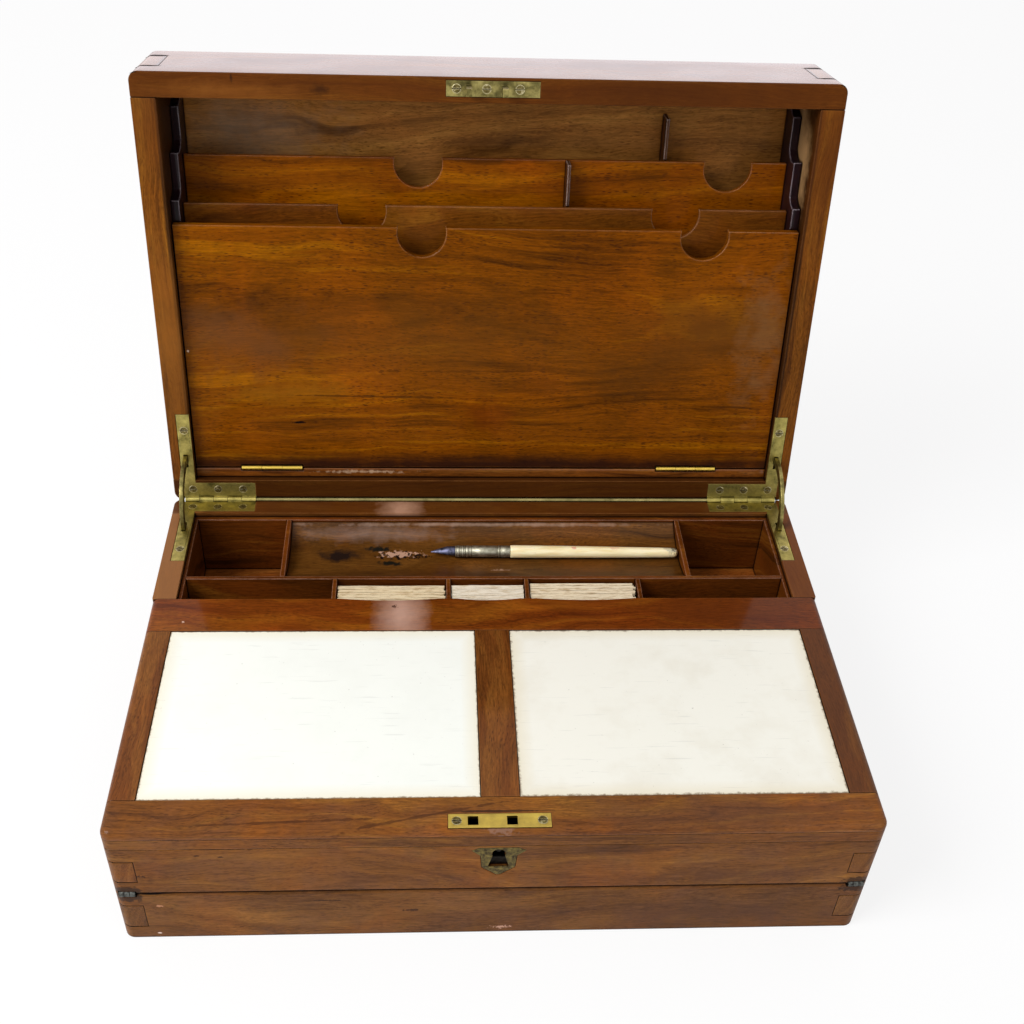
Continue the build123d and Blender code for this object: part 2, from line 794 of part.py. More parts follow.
with BuildPart() as lock_case:
    block(case, lock_case_xs, case_ys, lock_case_zs)
    block(case, (lock_case_xs[0] + lock_sheet, lock_case_xs[1] - lock_sheet),
          (case_ys[0] + lock_sheet, case_ys[1] - lock_sheet),
          (lock_case_zs[0] + lock_sheet, lock_case_zs[1]), Mode.SUBTRACT)
    keyhole(front_face, -lock_sheet - (case_ys[0] - front_y), lock_sheet, lock_keyhole_foot)
    with BuildSketch(front_face.offset(front_y - case_ys[1])) as post:
        with Locations((0, key_z)):
            Circle(key_post_radius)
    extrude(post.sketch, amount=lock_case_depth)
    for side in (-1, 1):
        xs = sorted((side * key_way, side * lock_case_length / 2))
        block(case, xs, case_ys, (bar_zs[0] - bolt_rest_play - bolt_rest, bar_zs[0] - bolt_rest_play))
write(lock_case, "lock_case")

eye_zs = (case_height - eye_low, case_height - eye_low + eye_height)
finger_zs = (eye_zs[0] + bolt_play, eye_zs[1] - bolt_play)
bolt_ys = (lock_y - bolt_thickness / 2, lock_y + bolt_thickness / 2)
with BuildPart() as lock_bolt:
    for x in (staple_left, staple_right):
        tip = x + staple_thickness / 2 + bolt_play
        root = tip + bolt_throw + bolt_play
        block(case, (tip, root), bolt_ys, finger_zs)
        block(case, (root, root + bolt_arm), bolt_ys, (bar_zs[0], finger_zs[1]))
    left = lock_case_xs[0] + lock_sheet + bolt_end_play + bolt_throw
    block(case, (left, root + bolt_arm), bolt_ys, bar_zs)
write(lock_bolt, "lock_bolt")

with BuildPart() as escutcheon:
    extrude(shield_face(), amount=escutcheon_thickness)
    keyhole(front_face, -escutcheon_thickness, escutcheon_thickness)
write(escutcheon, "escutcheon")

with BuildPart() as striker_plate:
    block(lid, lock_xs, lock_ys, (lid_gap, lid_gap + leaf))
    for x in (staple_left, staple_right):
        xs = (x - staple_thickness / 2, x + staple_thickness / 2)
        block(lid, xs, (lock_y - staple_width / 2, lock_y + staple_width / 2), (-staple_drop, lid_gap))
        block(lid, xs, (lock_y - eye_width / 2, lock_y + eye_width / 2),
              (-eye_low, -eye_low + eye_height), Mode.SUBTRACT)
    sinks(lid_rim, flipped(striker_screws))
write(striker_plate, "striker_plate")

# ---------------------------------------------------------------- lid

lid_inside = lid_height - lid_board
lid_cuts = (
    ("lid_front_wall", long_wall(lid, lid_gap, lid_height, lid_end_finger, -1)),
    ("lid_back_wall", long_wall(lid, lid_gap, lid_height, lid_end_finger, 1)),
    ("lid_left_wall", side_wall(lid, lid_gap, lid_height, lid_end_finger, -1)),
    ("lid_right_wall", side_wall(lid, lid_gap, lid_height, lid_end_finger, 1)),
)
for name, piece in lid_cuts:
    with piece:
        board_ledge(lid, lid_inside, lid_height)
        if name == "lid_front_wall":
            block(lid, lock_xs, lock_ys, (lid_gap, lid_gap + leaf), Mode.SUBTRACT)
            pilots(lid_rim, flipped(striker_screws))
        else:
            rear_cuts(lid, lid_gap, False)
            pilots(lid_rim, flipped(quadrant_screws))
    write(piece, name)

write(sunk_board(lid, lid_board, lid_inside), "lid_top_board")

# letter rack: everything in it is placed up from the lid's back wall, away from the hinge
rack_foot = inner_y
cheek_x = inner_x - cheek
flap_back = flap_recess + flap_thickness
rail_top = rack_foot - flap_rail
flap_ys = (-inner_y + flap_drop, rail_top - flap_play)
flap_axis_y = rail_top - flap_play / 2
rail_face = flap_axis_recess - rail_lip


def finger_notch(x, edge_y, zs):
    """A round notch in an upper edge that lies at edge_y."""
    with BuildSketch(lid.offset(zs[0])) as face:
        with Locations((x, edge_y + notch_drop)):
            Circle(notch_radius)
    extrude(face.sketch, amount=zs[1] - zs[0], mode=Mode.SUBTRACT)


def rack_board(recess, drop, notches):
    edge_y = -inner_y + drop
    zs = (recess, recess + rack_divider)
    with BuildPart() as piece:
        block(lid, (-cheek_x, cheek_x), (edge_y, rack_foot), zs)
        for x in notches:
            finger_notch(x, edge_y, zs)
    return piece


write(rack_board(front_divider_recess, front_divider_drop, front_notches), "rack_front_divider")
write(rack_board(rear_divider_recess, rear_divider_drop, rear_notches), "rack_rear_divider")

with BuildPart() as rack_partitions:
    top = -inner_y + rear_divider_drop
    block(lid, (front_partition_x, front_partition_x + rack_partition), (top, rack_foot),
          (front_divider_recess + rack_divider, rear_divider_recess))
    block(lid, (rear_partition_x, rear_partition_x + rack_partition), (top - rear_partition_rise, rack_foot),
          (rear_divider_recess + rack_divider, lid_inside))
write(rack_partitions, "rack_partitions")

rail_back = rail_face + flap_rail_depth
with BuildPart() as rack_cheeks:
    for side in (-1, 1):
        with BuildSketch(section(lid, side * (inner_x - cheek / 2))) as profile:
            front_step = -inner_y + front_divider_drop - cheek_horn
            rear_step = -inner_y + rear_divider_drop - cheek_horn
            with BuildLine():
                Polyline((front_step, flap_back + cheek_gap), (rail_top, flap_back + cheek_gap),
                         (rail_top, rail_back), (rack_foot, rail_back), (rack_foot, lid_inside),
                         (-inner_y, lid_inside), (-inner_y, rear_divider_recess + cheek_step))
                RadiusArc((front_step, flap_back + cheek_gap),
                          (front_step - cheek_shelf, front_divider_recess), -cheek_step)
                Line((front_step - cheek_shelf, front_divider_recess), (rear_step, front_divider_recess))
                RadiusArc((rear_step, front_divider_recess),
                          (rear_step - cheek_shelf, rear_divider_recess), -cheek_step)
                Line((rear_step - cheek_shelf, rear_divider_recess),
                     (-inner_y + cheek_step, rear_divider_recess))
                RadiusArc((-inner_y + cheek_step, rear_divider_recess),
                          (-inner_y, rear_divider_recess + cheek_step), -cheek_step)
            make_face()
        extrude(profile.sketch, amount=cheek / 2, both=True)
write(rack_cheeks, "rack_cheeks")

flap_hinges = [
    (x - flap_hinge_length / 2, x + flap_hinge_length / 2) for x in (flap_hinge_left, flap_hinge_right)
]
rail_leaf_ys = (rail_top, rail_top + flap_hinge_leaf)
flap_leaf_ys = (flap_ys[1] - flap_hinge_leaf, flap_ys[1])
rail_leaf_zs = (flap_axis_recess, flap_axis_recess + flap_hinge_width)
flap_leaf_zs = (flap_axis_recess, flap_back - flap_leaf_edge)

with BuildPart() as hinge_rail:
    block(lid, (-inner_x, inner_x), (rail_top, rack_foot), (rail_face, rail_back))
    for xs in flap_hinges:
        block(lid, xs, rail_leaf_ys, (rail_face, rail_leaf_zs[1]), Mode.SUBTRACT)
        rod(lid, (xs[0] - hinge_play, xs[1] + hinge_play), flap_axis_y, flap_axis_recess,
            flap_barrel + hinge_play, Mode.SUBTRACT)
write(hinge_rail, "flap_hinge_rail")

with BuildPart() as flap:
    block(lid, (-inner_x + flap_play, inner_x - flap_play), flap_ys, (flap_recess, flap_back))
    for x in flap_notches:
        finger_notch(x, flap_ys[0], (flap_recess, flap_back))
    for xs in flap_hinges:
        block(lid, xs, flap_leaf_ys, (flap_recess, flap_leaf_zs[1]), Mode.SUBTRACT)
        rod(lid, (xs[0] - hinge_play, xs[1] + hinge_play), flap_axis_y, flap_axis_recess,
            flap_barrel + hinge_play, Mode.SUBTRACT)
write(flap, "fall_flap")


def flap_leaves(ys, zs, owned, others, bore):
    with BuildPart() as leaves:
        for xs in flap_hinges:
            barrel = (lid, xs, flap_knuckles, flap_axis_y, flap_axis_recess)
            block(lid, xs, ys, zs)
            knuckle_gaps(*barrel, flap_barrel + hinge_play, others, knuckle_gap)
            knuckles(*barrel, flap_barrel, bore, owned, knuckle_gap)
            if not bore:
                rod(lid, xs, flap_axis_y, flap_axis_recess, flap_pin)
    return leaves


write(flap_leaves(rail_leaf_ys, rail_leaf_zs, (0, 2), (1,), 0), "flap_hinge_rail_leaves")
write(flap_leaves(flap_leaf_ys, flap_leaf_zs, (1,), (0, 2), flap_pin + rod_fit), "flap_hinge_flap_leaves")

# ---------------------------------------------------------------- pen

pen_length = nib_length + ferrule_length + handle_length
trough_low = rim - trough_floor_drop
pen = Plane(
    origin=(pen_x, (trough_front + trough_back) / 2, trough_low + handle_thick + pen_rest),
    x_dir=(cos(radians(pen_turn)), sin(radians(pen_turn)), 0),
    z_dir=(0, 0, 1),
)
pen = Plane(origin=pen.from_local_coords((-pen_length / 2, 0, 0)), x_dir=pen.x_dir, z_dir=pen.z_dir)
pen_axis = Axis(pen.origin, pen.x_dir)
ferrule_end = nib_length + ferrule_length

with BuildPart() as nib:
    with BuildSketch(pen):
        with BuildLine():
            Polyline((0, 0), (nib_length, nib_radius), (nib_length, nib_radius - nib_wall),
                     (2 * nib_wall, 0), close=True)
        make_face()
    revolve(axis=pen_axis)
    with BuildSketch(pen.offset(-nib_radius)):
        with Locations((nib_length / 3, 0)):
            Rectangle(2 * nib_length / 3, 2 * nib_radius)
    extrude(amount=nib_radius * nib_open, mode=Mode.SUBTRACT)
write(nib, "pen_nib")

with BuildPart() as ferrule:
    with BuildSketch(pen):
        with BuildLine():
            Polyline((nib_length, 0), (nib_length, nib_radius), (nib_length + ferrule_taper, ferrule_radius),
                     (ferrule_end, ferrule_radius), (ferrule_end, 0), close=True)
        make_face()
        with Locations(*[(nib_length + x, ferrule_radius) for x in ferrule_rings]):
            Polygon((-ring_width / 2, 0), (ring_width / 2, 0), (0, -ring_depth), align=None,
                    mode=Mode.SUBTRACT)
    revolve(axis=pen_axis)
write(ferrule, "pen_ferrule")

with BuildPart() as handle:
    with BuildSketch(pen):
        with BuildLine():
            Polyline((ferrule_end, 0), (ferrule_end, handle_thick), (pen_length - handle_end, handle_thin),
                     (pen_length, handle_thin - handle_end), (pen_length, 0), close=True)
        make_face()
    revolve(axis=pen_axis)
write(handle, "pen_handle")

# ---------------------------------------------------------------- card packs

pack_names = ("left_card_pack", "middle_card_pack", "right_card_pack")
for name, low, high, gap in zip(pack_names, partition_xs, partition_xs[1:], pack_gaps):
    with BuildPart() as pack:
        block(case, (low + partition / 2 + pack_play, high - partition / 2 - pack_play),
              (frame_back + pack_play, row_back - gap), (board, case_height - pack_drop))
    write(pack, name)
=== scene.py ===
"""A hardwood writing slope, standing open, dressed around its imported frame."""

import logging
import math
import random
import zlib
from dataclasses import dataclass, field, replace
from enum import Enum

import bmesh
import bpy
from bmesh.types import BMesh
from bpy.types import Material, NodeSocket, NodeTree, Object
from mathutils import Euler, Matrix, Vector


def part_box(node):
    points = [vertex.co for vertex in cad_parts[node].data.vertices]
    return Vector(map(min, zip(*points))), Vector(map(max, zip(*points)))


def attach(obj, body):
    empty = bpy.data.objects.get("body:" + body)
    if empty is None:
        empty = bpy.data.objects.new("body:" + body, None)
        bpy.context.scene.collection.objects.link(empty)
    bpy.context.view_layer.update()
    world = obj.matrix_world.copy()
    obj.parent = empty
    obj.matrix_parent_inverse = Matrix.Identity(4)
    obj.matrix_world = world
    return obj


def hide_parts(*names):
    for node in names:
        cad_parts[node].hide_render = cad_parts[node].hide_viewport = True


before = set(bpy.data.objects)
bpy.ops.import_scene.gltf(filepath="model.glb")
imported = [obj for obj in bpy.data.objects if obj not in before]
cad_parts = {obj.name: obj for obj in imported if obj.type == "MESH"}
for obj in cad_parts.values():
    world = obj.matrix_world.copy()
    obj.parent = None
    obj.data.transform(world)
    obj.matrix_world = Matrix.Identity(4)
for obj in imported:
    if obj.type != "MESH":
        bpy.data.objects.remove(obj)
log = logging.getLogger("writing_slope")

MM = 0.001
LID_LEAN = math.radians(100.4)
FRONT_MM = -132.5  # outer face of the front walls
BACK_MM = 132.5  # outer face of the back walls
WELD_MM = 0.002  # corners closer than this are one
EASED_FACETS = 2  # across an eased edge
SHARP_FROM = math.radians(40)  # edges sharper than this are eased


# ------------------------------------------------------------------------------ shared helpers


def linear(colour: str) -> tuple[float, float, float, float]:
    """Turns an sRGB hex value into a linear colour.

    Args:
        colour: a value such as "#8a5a35".

    Returns:
        Red, green, blue and alpha, from 0 to 1.
    """
    channels = [int(colour[i:i + 2], 16) / 255 for i in (1, 3, 5)]
    curve = [c / 12.92 if c <= 0.04045 else ((c + 0.055) / 1.055) ** 2.4 for c in channels]
    return (*curve, 1.0)


def add_node(
    tree: NodeTree,
    kind: str,
    inputs: dict | None = None,
    stops: list[tuple[float, str]] | None = None,
    out: int | str = 0,
    **settings: object,
) -> NodeSocket | None:
    """Adds a node with its settings and links.

    Args:
        tree: the material's or world's node tree.
        kind: the node's type, without its "ShaderNode" prefix.
        inputs: each socket's value, hex colour, or the output socket that feeds it.
        stops: the places and hex colours of a colour ramp.
        out: the output socket that is wanted.
        settings: the node's own properties.

    Returns:
        That socket, or None for a node that only takes inputs.
    """
    node = tree.nodes.new("ShaderNode" + kind)
    for name, value in settings.items():
        setattr(node, name, value)
    for key, value in (inputs or {}).items():
        if isinstance(value, NodeSocket):
            tree.links.new(value, node.inputs[key])
        elif isinstance(value, str):
            node.inputs[key].default_value = linear(value)
        else:
            node.inputs[key].default_value = value
    if stops:
        ramp = node.color_ramp
        while len(ramp.elements) < len(stops):
            ramp.elements.new(0.5)
        for element, (place, colour) in zip(ramp.elements, stops):
            element.position = place
            element.color = linear(colour)
    return node.outputs[out] if node.outputs else None


def new_material(name: str) -> tuple[Material, NodeTree]:
    """Starts an empty material and returns it with its node tree.

    Args:
        name: the material's name.

    Returns:
        The material and its node tree.
    """
    material = bpy.data.materials.new(name)
    material.use_nodes = True
    material.node_tree.nodes.clear()
    return material, material.node_tree


def shade_and_grime_in_corners(
    tree: NodeTree,
    colour: NodeSocket,
    shade_grime_colour: str,
    reach_mm: float,
    openness: tuple[float, float],
    most: float,
) -> NodeSocket:
    """Darkens a colour in corners and crevices found by ambient occlusion: painted shade, together
    with the dirt and wax that gather there.

    Args:
        tree: the material's nodes.
        colour: the clean surface.
        shade_grime_colour: the hex colour of the painted shade and dirt.
        reach_mm: how far out of a corner the darkening spreads.
        openness: how open a point is where the darkening starts, and where it is darkest.
        most: how much of the surface the darkest part hides.

    Returns:
        The colour, darkened in its corners.
    """
    corner = add_node(tree, "AmbientOcclusion", {"Distance": reach_mm * MM}, samples=6, out="AO")
    darkened_share = add_node(tree, "MapRange", {"Value": corner, "From Min": openness[0],
        "From Max": openness[1], "To Min": 0.0, "To Max": most})
    corner_darkened = add_node(tree, "Mix", {0: darkened_share, 6: colour, 7: shade_grime_colour}, data_type="RGBA", out=2)
    return corner_darkened


def flatness(tree: NodeTree, radius_mm: float) -> NodeSocket:
    """How flat the surface is within a radius: 1 on faces, less on edges, where the finishes lay
    rubbed wear and painted highlights.

    Args:
        tree: the material's nodes.
        radius_mm: how far round each point it looks.

    Returns:
        The flatness, up to 1.
    """
    geometry = add_node(tree, "NewGeometry", out="Normal")
    rounded = add_node(tree, "Bevel", {"Radius": radius_mm * MM}, samples=4)
    facing = add_node(tree, "VectorMath", {0: rounded, 1: geometry}, operation="DOT_PRODUCT",
        out="Value")
    return facing


def seed_of(name: str) -> float:
    """A steady number from 0 to 1 for a piece's name."""
    return (zlib.crc32(name.encode()) % 9973) / 9973


def dress(node: str, material: Material) -> Object:
    """Gives a node of the frame its finish.

    Args:
        node: the node's name.
        material: the finish.

    Returns:
        The node's object.
    """
    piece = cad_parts[node]
    piece.data.materials.clear()
    piece.data.materials.append(material)
    return piece


def ease(piece: Object, width_mm: float, clamp: bool = False) -> None:
    """Breaks the sharp edges of a board or fitting, as sanding and handling do.

    Args:
        piece: the object.
        width_mm: width of the eased edge.
        clamp: whether it narrows where two eased edges would meet.
    """
    weld = piece.modifiers.new("weld", "WELD")
    weld.merge_threshold = WELD_MM * MM
    bevel = piece.modifiers.new("eased_edges", "BEVEL")
    bevel.width = width_mm * MM
    bevel.segments = EASED_FACETS
    bevel.limit_method = "ANGLE"
    bevel.angle_limit = SHARP_FROM
    bevel.use_clamp_overlap = clamp
    bevel.harden_normals = False
    shade = piece.modifiers.new("even_shading", "WEIGHTED_NORMAL")
    shade.keep_sharp = False
    shade.weight = 80


def mesh_piece(name: str, shape: BMesh, material: Material) -> Object:
    """Turns a built shape into an object with one finish.

    Args:
        name: the piece's name.
        shape: the shape, in metres; it is freed here.
        material: the finish.

    Returns:
        The new object.
    """
    mesh = bpy.data.meshes.new(name)
    bmesh.ops.recalc_face_normals(shape, faces=shape.faces)
    shape.to_mesh(mesh)
    shape.free()
    mesh.materials.append(material)
    piece = bpy.data.objects.new(name, mesh)
    bpy.context.scene.collection.objects.link(piece)
    log.info("built %s with %d faces", name, len(mesh.polygons))
    return piece


# ------------------------------------------------------------------------------ finishes


@dataclass(frozen=True)
class Mark:
    """A soft or ragged ellipse of colour on a surface: a stain, nick or worn patch, and in places
    painted shade, light or reflection.
    """

    at_mm: tuple[float, float, float]
    half_mm: tuple[float, float]
    colour: str
    strength: float = 1.0
    turn: float = 0.0
    lean: float = 0.0
    ragged: float = 0.5
    ragged_mm: float = 3.0
    deep_mm: float = 6.0
    soft: float = 0.35
    matt: bool = False

    def cover(self, tree: NodeTree, place: NodeSocket,) -> NodeSocket:
        """How far the mark covers each point.

        Args:
            tree: the material's nodes.
            place: the surface's object coordinates.

        Returns:
            The cover, from 0 to the mark's strength.
        """
        spot = add_node(tree, "Mapping", {
            "Vector": place,
            "Location": [v * MM for v in self.at_mm],
            "Rotation": (-self.lean, 0.0, math.radians(self.turn)),
            "Scale": (self.half_mm[0] * MM, self.half_mm[1] * MM, self.deep_mm * MM),
        }, vector_type="TEXTURE")
        reach = add_node(tree, "VectorMath", {0: spot}, operation="LENGTH", out="Value")
        broken = add_node(tree, "TexNoise", {"Vector": place, "Scale": 1 / (self.ragged_mm * MM),
            "Detail": 3.0, "Roughness": 0.6})
        outline = add_node(tree, "Math", {0: broken, 1: 4 * self.ragged, 2: -2 * self.ragged},
            operation="MULTIPLY_ADD")
        edge = add_node(tree, "Math", {0: reach, 1: outline}, operation="ADD")
        cover = add_node(tree, "MapRange", {"Value": edge, "From Min": 1.0,
            "From Max": 1.0 - self.soft, "To Min": 0.0, "To Max": self.strength})
        return cover

    def paint(self, tree: NodeTree, place: NodeSocket, colour: NodeSocket) -> NodeSocket:
        """Lays the mark over a colour and returns the colour with the mark on it."""
        mixed = add_node(tree, "Mix", {0: self.cover(tree, place), 6: colour, 7: self.colour},
            data_type="RGBA", out=2)
        return mixed


class Grain(Enum):
    """The way a board's fibres run in the box that it belongs to, as turns in degrees."""

    ALONG_LENGTH = (0.0, 0.0, 0.0)
    ALONG_DEPTH = (0.0, 0.0, -90.0)


@dataclass(frozen=True)
class PolishedWalnut:
    """Walnut, planed and French polished.

    The planed cut shows growth bands, and leaves long pores as dark flecks along the fibres. Thin
    shellac gives the brown depth and a soft gloss that strengthens where the board is seen edge on.
    """

    dark: str
    body: str
    light: str
    flush: str = "#8f4d18"
    pore: str = "#331607"
    # colour of the rubbed edges, which also stands in for the highlight along them: painted
    # highlight
    rubbed_and_highlit: str = "#a8703c"
    band_mm: float = 6.0
    fibre_mm: float = 0.9
    fleck_mm: float = 0.8
    pore_gap_mm: float = 0.62
    pore_long_mm: float = 4.4
    pores: float = 0.55
    wave_mm: float = 8.0
    soften_mm: float = 0.8
    # how far the edges are rubbed and painted with a highlight
    wear_and_highlight: float = 0.3
    # how dark the corners go: dark wax with painted shade
    grime_and_shade: float = 0.7
    roughness: tuple[float, float] = (0.34, 0.5)
    polish: float = 0.04
    film: float = 0.08
    film_roughness: float = 0.1
    film_ior: float = 1.5
    glint: float = 0.5
    seam_mm: float = 1.0
    bloom: float = 0.0

    def material(self, name: str, grain: Grain, lean: float = 0.0, marks: tuple[Mark, ...] = (),
            outside: tuple[float, float, float] | None = None) -> Material:
        """Makes the finish of one board.

        Args:
            name: the board's name, which also picks its stretch of timber.
            grain: the way its fibres run.
            lean: how far its box is tilted at rest, in radians.
            marks: stains and nicks on it.
            outside: the direction in which its outer face looks, which has full coats of polish.

        Returns:
            The board's material.
        """
        material, tree = new_material("walnut_" + name)
        place = add_node(tree, "TexCoord", out="Object")
        turn, start = self._sawn(name, grain, lean)
        log_mm = add_node(tree, "Mapping", {"Vector": place, "Scale": (1 / MM, 1 / MM, 1 / MM),
            "Rotation": turn.to_euler(), "Location": start})
        fibres = self._waved(tree, log_mm)
        colour = self._timber(tree, log_mm, fibres)
        for mark in marks:
            colour = mark.paint(tree, place, colour)
        colour, seam, rubbed_and_highlit = self._wear_highlight_and_shade(tree, log_mm, colour)
        cloud = add_node(tree, "TexNoise", {"Vector": log_mm, "Scale": 1 / 30, "Detail": 4.0})
        gloss = add_node(tree, "MapRange", {"Value": cloud, "From Min": 0.3, "From Max": 0.7,
            "To Min": self.roughness[0], "To Max": self.roughness[1]})
        coats = self._coats(tree, outside)
        film = add_node(tree, "Math", {0: seam, 1: -1.0, 2: 1.0}, operation="MULTIPLY_ADD")
        film = add_node(tree, "Math", {0: film, 1: coats}, operation="MULTIPLY")
        for mark in marks:
            if mark.matt:
                film = add_node(tree, "Math", {0: film, 1: mark.cover(tree, place)},
                    operation="SUBTRACT", use_clamp=True)
        film = add_node(tree, "Math", {0: rubbed_and_highlit, 1: self.glint, 2: film}, operation="MULTIPLY_ADD",
            use_clamp=True)
        shell = add_node(tree, "BsdfPrincipled", {"Base Color": colour, "Roughness": gloss,
            "IOR": 1.5, "Specular IOR Level": self.polish, "Coat Weight": film,
            "Coat Roughness": self.film_roughness, "Coat IOR": self.film_ior,
            "Normal": self._relief(tree, fibres)})
        add_node(tree, "OutputMaterial", {"Surface": shell})
        return material

    def _sawn(self, name: str, grain: Grain, lean: float) -> tuple[Matrix, Vector]:
        """Where in the log the board was sawn: its turn, and its place from the pith.

        Args:
            name: the board's node.
            grain: the way its fibres run.
            lean: how far its box is tilted at rest, in radians.

        Returns:
            The turn from the frame to the log, and the shift after it.
        """
        seed, other = seed_of(name), seed_of(name + "_log")
        straight = (Euler([math.radians(a) for a in grain.value]).to_matrix()
                    @ Matrix.Rotation(lean, 3, "X"))
        low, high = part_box(name)
        size = [abs(v) for v in straight @ (high - low)]
        deep = 55 + 70 * seed
        pith = (seed * 900, deep * 0.3, deep) if size[2] < size[1] else (seed * 900, deep,
            deep * 0.3)
        skew = Euler((0.0, math.radians(3.2 * other - 1.6),
            math.radians(3.0 * seed - 1.5))).to_matrix()
        turn = skew @ straight
        return turn, Vector(pith) - turn @ ((low + high) / 2) / MM

    def _coats(self, tree: NodeTree, outside: tuple[float, float,
            float] | None) -> NodeSocket | float:
        """How thick the polish lies: full on the outer face, thin elsewhere.

        Args:
            tree: the material's nodes.
            outside: the direction in which the outer face looks, or None for thin coats all over.

        Returns:
            The thickness, up to 1.
        """
        if outside is None:
            return self.film
        facing = add_node(tree, "TexCoord", out="Normal")
        outward = add_node(tree, "VectorMath", {0: facing, 1: outside}, operation="DOT_PRODUCT",
            out="Value")
        full = add_node(tree, "MapRange", {"Value": outward, "From Min": 0.6, "From Max": 0.95,
            "To Min": self.film, "To Max": 1.0})
        return full

    def _waved(self, tree: NodeTree, log_mm: NodeSocket) -> NodeSocket:
        """Lets the fibres wander: slow waves that a straight board of real timber shows.

        Args:
            tree: the material's nodes.
            log_mm: the place in the timber, in millimetres.

        Returns:
            The place along the waved fibres.
        """
        slow = add_node(tree, "Mapping", {"Vector": log_mm, "Scale": (0.35, 1.0, 1.0)})
        drift = add_node(tree, "TexNoise", {"Vector": slow, "Scale": 1 / 60, "Detail": 3.0},
            out="Color")
        centred = add_node(tree, "VectorMath", {0: drift, 1: (0.5, 0.5, 0.5)}, operation="SUBTRACT")
        scaled = add_node(tree, "VectorMath", {0: centred, "Scale": 4 * self.wave_mm},
            operation="SCALE")
        waved = add_node(tree, "VectorMath", {0: log_mm, 1: scaled}, operation="ADD")
        return waved

    def _timber(self, tree: NodeTree, log_mm: NodeSocket, fibres: NodeSocket) -> NodeSocket:
        """Growth bands, fine fibres, warm clouds and pores of the timber.

        Args:
            tree: the material's nodes.
            log_mm: the place in the timber, in millimetres.
            fibres: the place along the waved fibres.

        Returns:
            The colour of the timber.
        """
        across = add_node(tree, "VectorMath", {0: fibres, 1: (0.0, 1.0, 1.0)}, operation="MULTIPLY")
        from_pith = add_node(tree, "VectorMath", {0: across}, operation="LENGTH", out="Value")
        along = add_node(tree, "SeparateXYZ", {0: fibres})
        ring = add_node(tree, "Math", {0: from_pith, 1: 1 / self.band_mm}, operation="MULTIPLY")
        stretch = add_node(tree, "Math", {0: along, 1: 0.004}, operation="MULTIPLY")
        rings = add_node(tree, "CombineXYZ", {0: stretch, 1: ring})
        band = add_node(tree, "TexNoise", {"Vector": rings, "Scale": 1.0, "Detail": 5.0,
            "Roughness": 0.62})
        tone = add_node(tree, "ValToRGB", {0: band}, stops=[(0.33, self.dark), (0.46, self.body),
            (0.53, self.body), (0.67, self.light)])
        cloud = add_node(tree, "TexNoise", {"Vector": log_mm, "Scale": 1 / 48, "Detail": 3.0,
            "Distortion": 0.6})
        warm = add_node(tree, "MapRange", {"Value": cloud, "From Min": 0.46, "From Max": 0.7,
            "To Min": 0.0, "To Max": 0.5})
        flushed = add_node(tree, "Mix", {0: warm, 6: tone, 7: self.flush}, data_type="RGBA", out=2)
        if self.bloom > 0:
            damp = add_node(tree, "TexNoise", {"Vector": log_mm, "Scale": 1 / 26, "Detail": 5.0,
                "Roughness": 0.7})
            grey = add_node(tree, "MapRange", {"Value": damp, "From Min": 0.42, "From Max": 0.66,
                "To Min": 0.0, "To Max": self.bloom})
            flushed = add_node(tree, "Mix", {0: grey, 6: flushed, 7: "#5c3c2c"}, data_type="RGBA",
                out=2)
        longer = add_node(tree, "Mapping", {"Vector": fibres, "Scale": (0.035, 1.0, 1.0)})
        fibre = add_node(tree, "TexNoise", {"Vector": longer, "Scale": 1 / self.fibre_mm,
            "Detail": 3.0, "Roughness": 0.65})
        shorter = add_node(tree, "Mapping", {"Vector": fibres, "Scale": (0.15, 1.0, 1.0)})
        fleck = add_node(tree, "TexNoise", {"Vector": shorter, "Scale": 1 / self.fleck_mm,
            "Detail": 4.0, "Roughness": 0.7})
        haze = add_node(tree, "TexNoise", {"Vector": log_mm, "Scale": 1 / 70, "Detail": 3.0})
        both = add_node(tree, "Math", {0: haze, 1: 0.8, 2: fibre}, operation="MULTIPLY_ADD")
        both = add_node(tree, "Math", {0: fleck, 1: 1.1, 2: both}, operation="MULTIPLY_ADD")
        shade = add_node(tree, "MapRange", {"Value": both, "From Min": 1.06, "From Max": 1.84,
            "To Min": 0.5, "To Max": 1.5})
        lined = add_node(tree, "VectorMath", {0: flushed, "Scale": shade}, operation="SCALE")
        mixed = add_node(tree, "Mix", {0: self._pore_mask(tree, fibres), 6: lined, 7: self.pore},
            data_type="RGBA", out=2)
        return mixed

    def _pore_mask(self, tree: NodeTree, fibres: NodeSocket) -> NodeSocket:
        """Where the long pores lie open: separate dashes along the fibres, thicker in places.

        Args:
            tree: the material's nodes.
            fibres: the place along the waved fibres.

        Returns:
            How far a pore covers each point.
        """
        drawn = add_node(tree, "Mapping", {"Vector": fibres, "Scale": (1 / self.pore_long_mm,
            1 / self.pore_gap_mm, 1 / self.pore_gap_mm)})
        cell = add_node(tree, "TexVoronoi", {"Vector": drawn, "Scale": 1.0}).node
        chance = add_node(tree, "SeparateColor", {0: cell.outputs["Color"]})
        where = add_node(tree, "TexNoise", {"Vector": drawn, "Scale": 0.09, "Detail": 2.0})
        rarer = add_node(tree, "Math", {0: chance, 1: 0.22, 2: cell.outputs["Distance"]},
            operation="MULTIPLY_ADD")
        reach = add_node(tree, "Math", {0: where, 1: -0.6, 2: rarer}, operation="MULTIPLY_ADD")
        mask = add_node(tree, "MapRange", {"Value": reach, "From Min": 0.08, "From Max": -0.09,
            "To Min": 0.0, "To Max": self.pores})
        return mask

